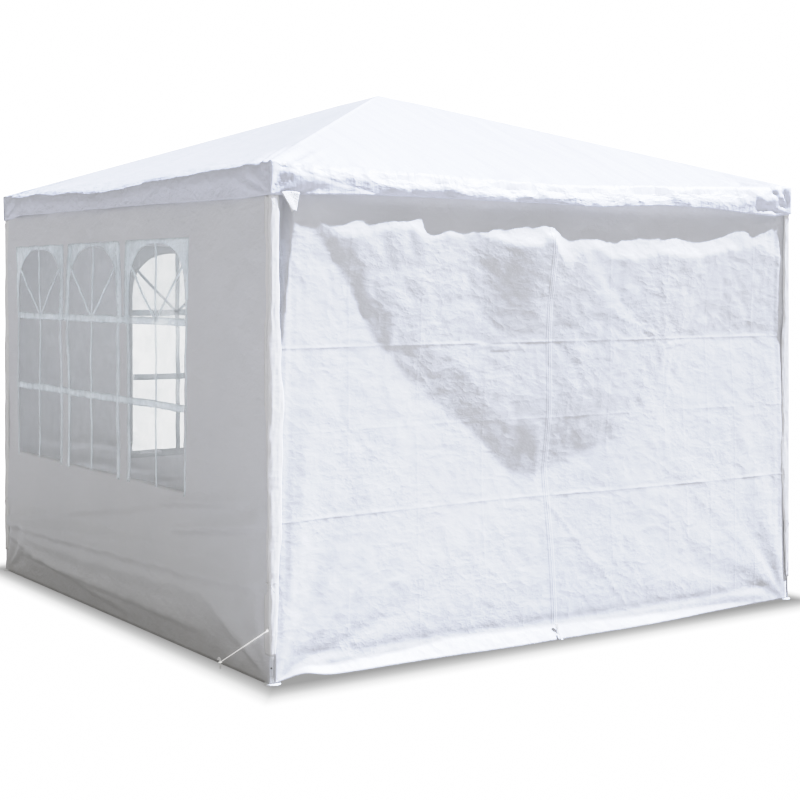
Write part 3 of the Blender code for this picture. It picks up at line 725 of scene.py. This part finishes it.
def settleFront():  # finds the slack that catches the wanted light, with the edges held at the legs
    gap, sunX, sunZ = front["cell"], light["sunFrom"][0], light["sunFrom"][2]
    wide, tall = front["cells"]
    xs = [front["x0"] + gap * i for i in range(wide + 1)]
    want = np.array([[front["flat"] - litShare(x + gap / 2, gap * (j + 0.5)) for j in range(tall)]
                     for x in xs[:-1]])
    held = np.full((wide + 1, tall + 1), -0.02)
    hold = np.full((wide + 1, tall + 1), 0.16)
    trust = np.ones((wide, tall))
    for i, x in enumerate(xs):
        edge = follow(front["bandEdge"], x)
        row = min(int(edge / gap), int(1.92 / gap))
        drop = max(0.0, 1.937 - edge)
        shader = x + 0.859 * drop  # the part of the valance that shades this place
        held[i, row - 1:] = (0.022 - 0.5 * roof["valanceOut"] * ease(-1.08, -1.16, shader)
                             - 0.8 * follow(roof["curl"], shader) - drop / front["shadeFall"])
        hold[i, row - 1:row + 2] = 2.2
        hold[i, row + 2:] = 0.9
        trust[min(i, wide - 1), row + 1:] = 0.12
        held[i, 0] = 0.036 * math.sin(math.pi * i / wide) ** 2
    hold[:, 0] = 6.0
    held[0, :] = held[-1, :] = 0.0
    hold[0, :] = hold[-1, :] = 30.0

    def slopes(depth):
        across = (depth[1:, :-1] - depth[:-1, :-1] + depth[1:, 1:] - depth[:-1, 1:]) / (2 * gap)
        up = (depth[:-1, 1:] - depth[:-1, :-1] + depth[1:, 1:] - depth[1:, :-1]) / (2 * gap)
        return trust * (sunX * across + sunZ * up), front["calm"] * (sunZ * across - sunX * up)

    def backward(lean, side):
        lean = lean * trust
        across = (sunX * lean + front["calm"] * sunZ * side) / (2 * gap)
        up = (sunZ * lean - front["calm"] * sunX * side) / (2 * gap)
        total = np.zeros((wide + 1, tall + 1))
        total[1:, :-1] += across - up
        total[:-1, :-1] -= across + up
        total[1:, 1:] += across + up
        total[:-1, 1:] -= across - up
        return total

    def whole(depth):
        return backward(*slopes(depth)) + hold ** 2 * depth

    depth = np.zeros((wide + 1, tall + 1))
    rest = backward(want * trust, np.zeros_like(want)) + hold ** 2 * held
    step, size = rest.copy(), float((rest * rest).sum())
    for _ in range(1300):
        pushed = whole(step)
        share = size / float((step * pushed).sum())
        depth += share * step
        rest -= share * pushed
        after = float((rest * rest).sum())
        step = rest + after / size * step
        size = after
    print("front wall slack from", round(depth.min(), 3), "to", round(depth.max(), 3))
    return depth.tolist(), gap


frontDepths = settleFront()


def frontOut(x, z):  # how far the front wall stands out of its plane
    depth, gap = frontDepths
    wide, tall = len(depth) - 1, len(depth[0]) - 1
    a = min(wide - 1e-6, max(0.0, (x - front["x0"]) / gap))
    b = min(tall - 1e-6, max(0.0, z / gap))
    i, j = int(a), int(b)
    a, b = a - i, b - j
    value = (depth[i][j] * (1 - a) * (1 - b) + depth[i + 1][j] * a * (1 - b)
             + depth[i][j + 1] * (1 - a) * b + depth[i + 1][j + 1] * a * b)
    value *= ease(0.0, 0.05, 1.4856 - abs(x)) * (1 - ease(1.905, 1.975, z))
    rough, loose = ease(0.02, 0.12, 1.4856 - abs(x)), frontSlack(x, z)
    value += rough * (0.0018 + 0.0016 * loose) * (crumpled(x + 0.3 * z, z, 0.15, 2.0) - 0.5)
    value += rough * (0.0007 + 0.0004 * loose) * (crumpled(x, z - 0.3 * x, 0.062, 6.0) - 0.5)
    for row, share, seed in zip(front["foldRows"], (1.0, 0.45, 1.0), (3.0, 5.0, 8.0)):
        share *= 0.45 + 0.75 * ease(-0.3, 0.3, cloudy(x, 0, 0.22, seed))
        value += share * front["foldHigh"] * max(0.0, 1 - abs(z - row) / 0.0045)
        value -= share * 0.0011 * max(0.0, 1 - abs(z - row + 0.014) / 0.010)
    for column in front["foldColumns"]:
        value += 0.0004 * max(0.0, 1 - abs(x - column) / 0.0045) * ease(-0.2, 0.5, cloudy(column, z, 0.3, 1.0) + 0.3)
    away = 1.4856 - abs(x)
    tied = 0.5 + 0.5 * ease(0.9, 1.7, z) + 0.4 * ease(0.6, 0.2, z)
    value += 0.0075 * tied * math.exp(-away / 0.045) * math.sin(away * 130 + 1.6 * math.sin(z * 3.1)) * ease(0.1, 0.5, z)
    # soft folds spread from both feet
    far, angle = math.hypot(away, z), math.atan2(z, away + 1e-6)
    reach = ease(0.04, 0.5, far) * (1 - ease(0.8, 1.7, far)) * (1.0 if x < 0 else 0.6)
    value += 0.0075 * reach * cloudy(angle / 0.17, far / 1.3, 1.0, 11.0 + (x > 0))
    if x < 0:
        value += 0.009 * (hump(angle, 0.68, 0.12) - hump(angle, 0.34, 0.10)) * ease(0.0, 0.5, far) * (1 - ease(0.5, 1.1, far))
    for (x0, z0), (x1, z1), high in front["creases"]:
        run = ((x - x0) * (x1 - x0) + (z - z0) * (z1 - z0)) / ((x1 - x0) ** 2 + (z1 - z0) ** 2)
        if -0.05 < run < 1.05:
            off = ((x - x0) * (z1 - z0) - (z - z0) * (x1 - x0)) / math.hypot(x1 - x0, z1 - z0)
            off += 0.006 * cloudy(run, 0, 0.2, x0)
            value += high * max(0.0, 1 - abs(off) / (0.006 if off > 0 else 0.013)) * ease(-0.05, 0.1, run) * ease(1.05, 0.8, run)
    value += 0.0028 * ease(0.03, 0.2, far) * (1 - ease(0.3, 0.7, far)) * math.sin(angle * 11 + 0.6)
    value -= 0.0045 * hump(z, 0.085, 0.02) * ease(0, 0.3, away)
    # a deep dark fold beside the near corner
    brim = follow(((1.28, -1.455), (1.6, -1.42), (1.93, -1.383)), z)
    fold = ease(-1.478, -1.458, x) * (1 - ease(brim - 0.010, brim + 0.004, x)) * ease(1.28, 1.4, z) * (1 - ease(1.945, 1.99, z))
    value += (-0.050 - value) * fold
    return value + follow(front["hemKick"], x) * max(0.0, 1 - z / follow(front["hemHigh"], x))


def edgeAt(x, z):  # the wall draws in beside the foot
    pull = 0.014 * (1 - ease(0.13, 0.25, z)) * ease(1.25, 1.4856, abs(x))
    return x - math.copysign(pull, x)


def frontPoint(x, z, out=0.0):
    lift = 0.020 * hump(x, -1.34, 0.09) * ease(0.3, 0.0, z)
    return Vector((edgeAt(x, z), -tent["wallAt"] - frontOut(x, z) - out, z + lift))


def frontSlack(x, z):  # where the hanging cloth is loose and crinkled
    line = front["vLeft"] if x < -0.1 else front["vRight"]
    above = (z - follow(line, x)) * 0.8
    loose = ease(-0.02, 0.05, above) if x < 0.68 else ease(1.3, 1.36, z)
    return loose * (1 - 0.6 * ease(0.02, 0.08, z - follow(front["bandEdge"], x)))


def makeFrontWall(material, zipMaterial):
    rows = steps(tent["wallBottom"], 0.076, 0.007)[:-1] + steps(0.076, tent["wallTop"], front["gap"], front["foldRows"])
    halfZip = front["zipWide"] / 2
    leftColumns = steps(-tent["wallHalf"], front["zipAt"] - 0.004, front["gap"],
                        [c for c in front["foldColumns"] if c < 0])
    rightColumns = steps(front["zipAt"] + 0.004, tent["wallHalf"], front["gap"],
                         [c for c in front["foldColumns"] if c > 0])
    for name, columns, node in (("front_curtain_left", leftColumns, "front_wall_left"),
                                ("front_curtain_right", rightColumns, "front_wall_right")):
        shape = clothGrid(columns, rows, frontPoint, frontSlack)
        piece = finishPiece(name, shape, material, replaced=[node],
                            thick=tent["clothThick"])
    strip = clothGrid(steps(front["zipAt"] - halfZip, front["zipAt"] + halfZip, 0.0032), rows,
                      lambda x, z: frontPoint(x, z, 0.0012 * ease(1.0, 0.7, abs(x - front["zipAt"]) / halfZip) - 0.0007))
    finishPiece("zip_strip", strip, zipMaterial, replaced=["door_zip"], thick=0.0014)
    coil = clothGrid([front["zipAt"] + k * 0.0013 for k in (-2, -1, 0, 1, 2)], rows,
                     lambda x, z: frontPoint(x, z, 0.0016 - 0.0004 * abs(x - front["zipAt"]) / 0.0013))
    bmesh.ops.recalc_face_normals(coil, faces=coil.faces)
    finishPiece("zip_coil", coil, zipMaterial, thick=0.0005)
    tab = bmesh.new()
    bmesh.ops.create_cube(tab, size=1)
    for point in tab.verts:
        x, y, z = point.co
        place = frontPoint(front["zipAt"], 0.018 + 0.03 * z, 0.012)
        point.co = place + Vector((x * (0.010 - 0.004 * z), y * 0.003, 0.004))
    bmesh.ops.bevel(tab, geom=tab.edges, offset=0.0012, segments=2, profile=0.5, affect="EDGES", material=-1)
    finishPiece("zip_pull", tab, zipMaterial, smooth=False)


# ---- corners, ties and leg details ------------------------------------------------------
corner = {
    "radius": 0.0205, "width": ((0.11, 0.002), (0.2, 0.010), (0.6, 0.030), (1.1, 0.036), (1.5, 0.024), (1.93, 0.016)),
    "top": 1.945, "bottom": 0.115, "tieHeights": (1.926, 0.40),
    "collarAt": 0.100, "collarHigh": 0.014, "holeAt": 0.065,
}


def cornerPoint(run, z, signs, seed):  # 0 on the side wall, 1 at the far end on the front or back wall
    fin = 0.006 + 0.008 * ease(-0.4, 0.5, cloudy(0.2, z, 0.16, seed)) + 0.004 * hump(z, 1.0, 0.4)
    flat = follow(corner["width"], z) * (1 + 0.35 * cloudy(0.3, z, 0.12, seed + 2))
    fin *= (0.3 + 0.7 * ease(0.15, 0.3, z)) * (1.0 if signs == (-1, -1) else 0.25)
    wave = 0.0018 * cloudy(run * 2, z, 0.06, seed + 5)
    path = ((0.0, (0.0185, -0.030)), (0.25, (0.0195, 0.006)), (0.40, (0.0205 + fin, 0.0195)),
            (0.55, (0.016, 0.0240)), (0.8, (-flat * 0.5, 0.0235)), (1.0, (-flat, 0.0205)))
    u = follow([(share, spot[0]) for share, spot in path], run)
    v = follow([(share, spot[1]) for share, spot in path], run) + wave
    at = tent["legAt"]
    return Vector((signs[0] * (at + u), signs[1] * (at + v), z))


def tube(path, radius, sides=8):  # a round bar along some points
    shape = bmesh.new()
    rings = []
    for i, here in enumerate(path):
        before, after = path[max(0, i - 1)], path[min(len(path) - 1, i + 1)]
        turn = (after - before).to_track_quat("Z", "Y").to_matrix().to_4x4()
        made = bmesh.ops.create_circle(shape, segments=sides, radius=radius,
                                       matrix=Matrix.Translation(here) @ turn)
        rings.append(made["verts"])
    for one, two in zip(rings, rings[1:]):
        for k in range(sides):
            shape.faces.new((one[k], one[(k + 1) % sides], two[(k + 1) % sides], two[k]))
    shape.faces.new(list(reversed(rings[0])))
    shape.faces.new(rings[-1])
    bmesh.ops.recalc_face_normals(shape, faces=shape.faces)
    return shape


def tonguePoint(across, up, signs):  # narrow below, wide above
    left, right = 1.462 - 0.040 * (1 - up), 1.378 + 0.020 * (1 - up)
    x = left + (right - left) * across
    z = 1.864 + 0.078 * up + 0.006 * math.sin(across * 3)
    y = 1.526 + 0.014 * (1 - up) + 0.004 * math.sin(across * 4 + up * 3)
    return Vector((signs[0] * x, signs[1] * y, z))


def ringBand(signs, low, high, radius, seed=0.0):  # a sleeve round a leg, with soft edges
    shape = bmesh.new()
    rings = []
    for z, r in ((low, radius - 0.0012), (low + 0.0015, radius), ((low + high) / 2, radius + 0.0004),
                 (high - 0.0015, radius), (high, radius - 0.0012)):
        centre = Vector((signs[0] * tent["legAt"], signs[1] * tent["legAt"], z))
        rings.append(bmesh.ops.create_circle(shape, segments=32, radius=r,
                                             matrix=Matrix.Translation(centre))["verts"])
    for one, two in zip(rings, rings[1:]):
        for k in range(32):
            shape.faces.new((one[k], one[(k + 1) % 32], two[(k + 1) % 32], two[k]))
    shape.faces.new(list(reversed(rings[0])))
    shape.faces.new(rings[-1])
    bmesh.ops.recalc_face_normals(shape, faces=shape.faces)
    return shape


def makeCorners(cloth, plastic, steel, dark):
    hems, ties, collars, holes = [], [], [], []
    for number, signs in enumerate(((-1, -1), (1, -1), (-1, 1), (1, 1))):
        turns = [i / 20 for i in range(21)]
        rows = steps(corner["bottom"], corner["top"], 0.012)
        strip = clothGrid(turns, rows, lambda t, z, k=signs, n=number: cornerPoint(t, z, k, 40 + n))
        flat = strip.loops.layers.uv.active
        for face in strip.faces:
            for loop in face.loops:
                loop[flat].uv = (loop[flat].uv[0] * 0.10 + 5 * number, loop[flat].uv[1])
        bmesh.ops.recalc_face_normals(strip, faces=strip.faces)
        if sum(f.normal.dot(Vector((*signs, 0))) for f in strip.faces) < 0:
            bmesh.ops.reverse_faces(strip, faces=strip.faces)
        hems.append(strip)
        if number == 0:  # a loose white tongue under the eave
            tongue = clothGrid([i / 8 for i in range(9)], [i / 10 for i in range(11)],
                               lambda a, b, k=signs: tonguePoint(a, b, k))
            bmesh.ops.recalc_face_normals(tongue, faces=tongue.faces)
            if sum(f.normal.y * signs[1] for f in tongue.faces) < 0:
                bmesh.ops.reverse_faces(tongue, faces=tongue.faces)
            hems.append(tongue)
        centre = Vector((signs[0] * tent["legAt"], signs[1] * tent["legAt"], 0))
        out = Vector((*signs, 0)).normalized()
        for high in corner["tieHeights"]:
            loop = [centre + Matrix.Rotation(2 * math.pi * i / 24, 3, "Z") @ Vector((0.0245, 0, 0))
                    + Vector((0, 0, high + 0.003 * math.sin(i * 0.8))) for i in range(25)]
            ties.append(tube(loop, 0.0017))
            knot = centre + out * 0.026 + Vector((0, 0, high))
            ball = bmesh.new()
            bmesh.ops.create_icosphere(ball, subdivisions=3, radius=0.0052, matrix=Matrix.Translation(knot))
            ties.append(ball)
            for lean in (-0.010, 0.012):
                end = knot + Vector((lean, lean * signs[0] * signs[1] * -1, -0.034)) + out * 0.002
                ties.append(tube([knot, (knot + end) / 2 + out * 0.003, end], 0.0014))
        collars.append(ringBand(signs, corner["collarAt"], corner["collarAt"] + corner["collarHigh"], 0.0172))
        # painted shade: a dark disc on each leg stands in for the shadowed inside of its button hole
        spot = bmesh.new()
        facing = out.to_track_quat("Z", "Y").to_matrix().to_4x4()
        bmesh.ops.create_cone(spot, cap_ends=True, segments=20, radius1=0.0034, radius2=0.0034, depth=0.002,
                              matrix=Matrix.Translation(centre + out * 0.0124 + Vector((0, 0, corner["holeAt"]))) @ facing)
        holes.append(spot)
    edge = finishPiece("corner_hems", joinShapes(hems), cloth, thick=0.001)
    finishPiece("corner_ties", joinShapes(ties), cloth)
    finishPiece("leg_collars", joinShapes(collars), plastic)
    finishPiece("leg_button_holes", joinShapes(holes), dark)


# ---- window walls ------------------------------------------------------------------------
window = {
    "centres": (-0.99, -0.28, 0.44), "half": 0.290, "bottoms": {"left": 0.680, "back": 0.612, "right": 0.635}, "bottom": 0.63, "top": 1.765,
    "springDown": 0.255, "band": 0.034, "gap": 0.0135, "barWide": 0.034, "slimBar": 0.018, "forkWide": 0.015,
    "barRows": (1.415, 1.040), "filmEdge": 0.055,
    "jut": ((-1.49, 0.225), (-0.5, 0.235), (0.1, 0.25), (0.6, 0.275), (0.95, 0.285), (1.25, 0.17), (1.4856, 0.05)),
    "creases": (((-1.47, 0.26), (1.45, 0.37), 0.010, 0.035), ((-1.47, 0.27), (1.2, 0.47), 0.007, 0.03),
                ((0.50, 0.60), (1.30, 0.70), 0.007, 0.022), ((0.60, 0.49), (1.47, 0.62), 0.009, 0.025),
                ((-1.47, 0.28), (0.5, 0.60), 0.005, 0.03), ((-1.2, 0.14), (0.9, 0.12), 0.010, 0.03),
                ((-1.45, 0.20), (0.2, 0.05), 0.007, 0.025)),
}


def wallOut(x, z, seed):  # a window wall's own slack
    rough = ease(0.0, 0.10, 1.4856 - abs(x)) * ease(-0.02, 0.1, z)
    value = 0.0035 * (crumpled(x, z, 0.17, seed) - 0.5)
    value += 0.012 * cloudy(x, z, 0.55, seed + 1)
    # the cloth juts out along a line near the ground, and creases spread from the far tie
    jut = follow(window["jut"], x) + 0.012 * cloudy(x, 0, 0.2, seed + 2)
    rise = z - jut
    value += 0.044 * ease(-1.45, -0.9, x) * ease(1.48, 1.1, x) * (max(0.0, 1 - rise / 0.17) if rise > 0 else 1 + rise / jut * 1.15)
    for (x0, z0), (x1, z1), high, wide in window["creases"]:
        share = (x - x0) / (x1 - x0)
        if -0.1 < share < 1.1:
            lift = z - (z0 + (z1 - z0) * share) - 0.008 * cloudy(x, 0, 0.1, seed + z0)
            spread = wide * (0.35 + 0.65 * min(1.0, max(0.1, share)))
            side = max(0.0, 1 - abs(lift) / spread) if lift < 0 else max(0.0, 1 - lift / (spread * 3.2))
            value += 1.8 * high * side * ease(-0.1, 0.12, share) * ease(1.1, 0.85, share)
    value += fan(x, z, math.copysign(1.4856, x), 0.0, 12, 0.007, 0.6, seed)
    return value * rough * (1 - ease(1.92, 1.99, z))


def windowShape(centre, grow=0.0):  # the arched outline, from the bottom left round to the left
    half, bottom, top = window["half"] + grow, window["bottom"] - grow, window["top"] + grow
    spring = window["top"] - window["springDown"]
    points = [(centre - half, bottom), (centre + half, bottom), (centre + half, spring)]
    rise = top - spring
    for i in range(1, 24):
        angle = math.pi * i / 24
        c, s = math.cos(angle), math.sin(angle)
        points.append((centre + half * math.copysign(abs(c) ** 0.8, c), spring + rise * abs(s) ** 0.8))
    points.append((centre - half, spring))
    return points


def inside(outline, x, z):
    odd = False
    for (x0, z0), (x1, z1) in zip(outline, outline[1:] + outline[:1]):
        if (z0 > z) != (z1 > z) and x < x0 + (x1 - x0) * (z - z0) / (z1 - z0):
            odd = not odd
    return odd


def nearestOn(outline, x, z):
    best, found = 1e9, (x, z)
    for (x0, z0), (x1, z1) in zip(outline, outline[1:] + outline[:1]):
        dx, dz = x1 - x0, z1 - z0
        share = max(0.0, min(1.0, ((x - x0) * dx + (z - z0) * dz) / (dx * dx + dz * dz)))
        px, pz = x0 + share * dx, z0 + share * dz
        far = (px - x) ** 2 + (pz - z) ** 2
        if far < best:
            best, found = far, (px, pz)
    return found


def cutSheet(columns, rows, holes, keepInside=False):  # a flat grid with its edge drawn to each outline
    shape = clothGrid(columns, rows, lambda x, z: Vector((x, 0, z)))
    drop = []
    for face in shape.faces:
        c = face.calc_center_median()
        if any(inside(hole, c.x, c.z) for hole in holes) != keepInside:
            drop.append(face)
    bmesh.ops.delete(shape, geom=drop, context="FACES")
    for point in shape.verts:
        if not point.is_boundary:
            continue
        x, z = point.co.x, point.co.z
        near = min((nearestOn(hole, x, z) for hole in holes), key=lambda p: (p[0] - x) ** 2 + (p[1] - z) ** 2)
        if (near[0] - x) ** 2 + (near[1] - z) ** 2 < (window["gap"] * 1.3) ** 2:
            point.co = (near[0], 0, near[1])
    return shape


def band(outline, wide, closed=True, steps=0.02):  # a flat strip along a line, drawn on the wall
    points = []
    pairs = list(zip(outline, outline[1:] + (outline[:1] if closed else [])))
    if not closed:
        pairs = list(zip(outline, outline[1:]))
    for (x0, z0), (x1, z1) in pairs:
        count = max(1, round(math.hypot(x1 - x0, z1 - z0) / steps))
        points += [(x0 + (x1 - x0) * i / count, z0 + (z1 - z0) * i / count) for i in range(count)]
    if not closed:
        points.append(outline[-1])
    shape = bmesh.new()
    rails = []
    number = len(points)
    for i, (x, z) in enumerate(points):
        before = points[(i - 1) % number] if closed or i else points[i]
        after = points[(i + 1) % number] if closed or i < number - 1 else points[i]
        dx, dz = after[0] - before[0], after[1] - before[1]
        size = math.hypot(dx, dz) or 1
        nx, nz = -dz / size, dx / size
        rails.append([shape.verts.new((x + nx * wide * k, 0, z + nz * wide * k)) for k in (-0.5, -0.17, 0.17, 0.5)])
    pairs = zip(rails, rails[1:] + (rails[:1] if closed else []))
    if not closed:
        pairs = zip(rails, rails[1:])
    for one, two in pairs:
        for k in range(3):
            shape.faces.new((one[k], one[k + 1], two[k + 1], two[k]))
    return shape


def layOn(shape, side, out, seed, wrinkle=0.0):  # bends a flat drawing onto its wall
    flat = shape.loops.layers.uv.verify()
    for face in shape.faces:
        for loop in face.loops:
            loop[flat].uv = (loop.vert.co.x, loop.vert.co.z)
    turn = turnedAt(side)
    for point in shape.verts:
        x, z = point.co.x, point.co.z
        extra = wrinkle * cloudy(x, z, 0.03, seed + 8)
        if wrinkle:
            x += 0.007 * cloudy(x * 0.5, z, 0.16, seed + 3)
            z += 0.004 * cloudy(x, z, 0.10, seed + 4)
        point.co = turn @ Vector((x, -tent["wallAt"] - wallOut(x, z, seed) - out - extra, z))
    bmesh.ops.recalc_face_normals(shape, faces=shape.faces)
    outward = turn @ Vector((0, -1, 0))
    if sum(face.normal.dot(outward) for face in shape.faces) < 0:
        bmesh.ops.reverse_faces(shape, faces=shape.faces)
    return shape


def joinShapes(shapes):
    whole = bmesh.new()
    for shape in shapes:
        mesh = bpy.data.meshes.new("part")
        shape.to_mesh(mesh)
        shape.free()
        whole.from_mesh(mesh)
        bpy.data.meshes.remove(mesh)
    return whole


def makeWindowWall(side, seed, clothMaterial, filmMaterial, tapeMaterial):
    window["bottom"] = window["bottoms"][side]
    rows = steps(0.0015, tent["wallTop"], window["gap"])
    columns = steps(-tent["wallHalf"], tent["wallHalf"], window["gap"])
    holes = [windowShape(c) for c in window["centres"]]
    wall = layOn(cutSheet(columns, rows, holes), side, 0.0, seed)
    piece = finishPiece(side + "_curtain", wall, clothMaterial,
                        replaced=[side + "_wall"], thick=tent["clothThick"])

    low, high = window["bottom"] - 0.04, window["top"] + 0.04
    x0, x1 = window["centres"][0] - 0.32, window["centres"][-1] + 0.32
    pane = clothGrid(steps(x0, x1, 0.02), steps(low, high, 0.02), lambda x, z: Vector((x, 0, z)))
    pane = layOn(pane, side, -0.0012, seed, 0.0)
    piece = finishPiece(side + "_window_sheet", pane, filmMaterial,
                        replaced=[side + "_window_film"], thick=0.0004)

    strips = []
    half, foot, crown = window["half"], window["bottom"], window["top"]
    upper = window["barRows"][0]
    for centre in window["centres"]:
        for toSide in (-1, 1):
            outer = abs(centre + toSide * 0.3) > abs(window["centres"][0]) or centre + toSide * 0.3 > 0.7
            edge = centre + toSide * (half + 0.012)
            strips.append(band([(edge, foot - 0.02), (edge, crown + 0.015)], 0.014 if outer else window["band"], False))
            strips.append(band([(centre, upper), (centre + toSide * half * 0.92, 1.665)],
                               window["forkWide"], False))
        corners = [centre - half - 0.028, centre + half + 0.028]
        head = cutSheet(steps(*corners, 0.0105), steps(crown - window["springDown"], crown + 0.02, 0.0105),
                        [windowShape(centre)])
        strips.append(head)
        strips.append(band([(centre, foot - 0.01), (centre, crown + 0.01)], window["slimBar"] * (1.0 if side == "left" else 1.5), False))
    for left, right in zip(window["centres"], window["centres"][1:]):
        middle = (left + right) / 2
        for toSide in (-1, 1):
            strips.append(band([(middle + toSide * 0.060, crown + 0.01), (middle + toSide * 0.045, crown - 0.14),
                                (middle + toSide * 0.035, upper - 0.02)], 0.052, False))
    for row in window["barRows"]:
        strips.append(band([(x0 + 0.03, row), (x1 - 0.03, row)], window["barWide"], False))
    lattice = layOn(joinShapes(strips), side, 0.0012, seed, 0.0006)
    finishPiece(side + "_window_tape", lattice, tapeMaterial, thick=0.0007)


# ---- the whole -----------------------------------------------------------------------------
def main():
    makeCamera()
    makeLight()
    makeFloor()
    groups["sheetCrinkle"] = makeCrinkleGroup()
    groups["tapeWeave"] = makeWeaveGroup()
    groups["clothTone"] = makeToneGroup()
    print("camera, light and floor are ready")

    roofCloth = makeClothMaterial("roofCloth", 0.7, roof["slant"], (0.832, 0.849, 0.918, 1))
    wallCloth = makeClothMaterial("wallCloth", 1.0)
    zipCloth = makeClothMaterial("zipCloth", 0.6)
    filmLook = makeFilmMaterial()
    # only the left wall's tape has the painted glow; the back and right walls' tape has none
    tapeLooks = {"left": makeTapeMaterial("windowTape", 0.09), "back": makeTapeMaterial("windowTapeInShade", 0.0)}
    # painted glow: steel, plastic, zinc wire and cord each give off a little light of their own, the cord most
    steel = makeSteelMaterial("whitePaintedSteel", (0.84, 0.85, 0.86, 1), 0.36, glow=0.08)
    plastic = makeSteelMaterial("whiteMouldedPlastic", (0.86, 0.87, 0.87, 1), 0.5, 0.0002, glow=0.08)
    zinc = makeSteelMaterial("zincWire", (0.80, 0.80, 0.80, 1), 0.5, 0.0001, 0.4, glow=0.22)
    rope = makeSteelMaterial("whiteCord", (0.95, 0.95, 0.94, 1), 0.8, 0.0003, glow=0.5)
    hemCloth = makeClothMaterial("hemCloth", 0.8, colour=(0.90, 0.895, 0.885, 1))
    # painted shade for the legs' button holes
    dark = makeSteelMaterial("paintedHoleShade", (0.05, 0.05, 0.05, 1), 0.6)
    print("materials are ready")

    looks = {"white_steel": steel, "white_plastic": plastic, "peg_steel": zinc, "rope_cord": rope,
             "zip_metal": zinc, "white_fabric": wallCloth, "clear_film": filmLook, "zip_tape": zipCloth}
    for part in frame["record"]["subparts"]:
        node = bpy.data.objects[part["node"]]
        for place in node.material_slots:
            place.material = looks[part["material_slot"]]

    makeRoofCover(roofCloth)
    print("roof cover is on")
    makeFrontWall(wallCloth, zipCloth)
    makeCorners(hemCloth, plastic, steel, dark)
    print("front wall is hung")
    for number, side in enumerate(("left", "back", "right")):
        makeWindowWall(side, 20.0 + 9 * number, wallCloth, filmLook, tapeLooks.get(side, tapeLooks["back"]))
    print("window walls are hung")


main()
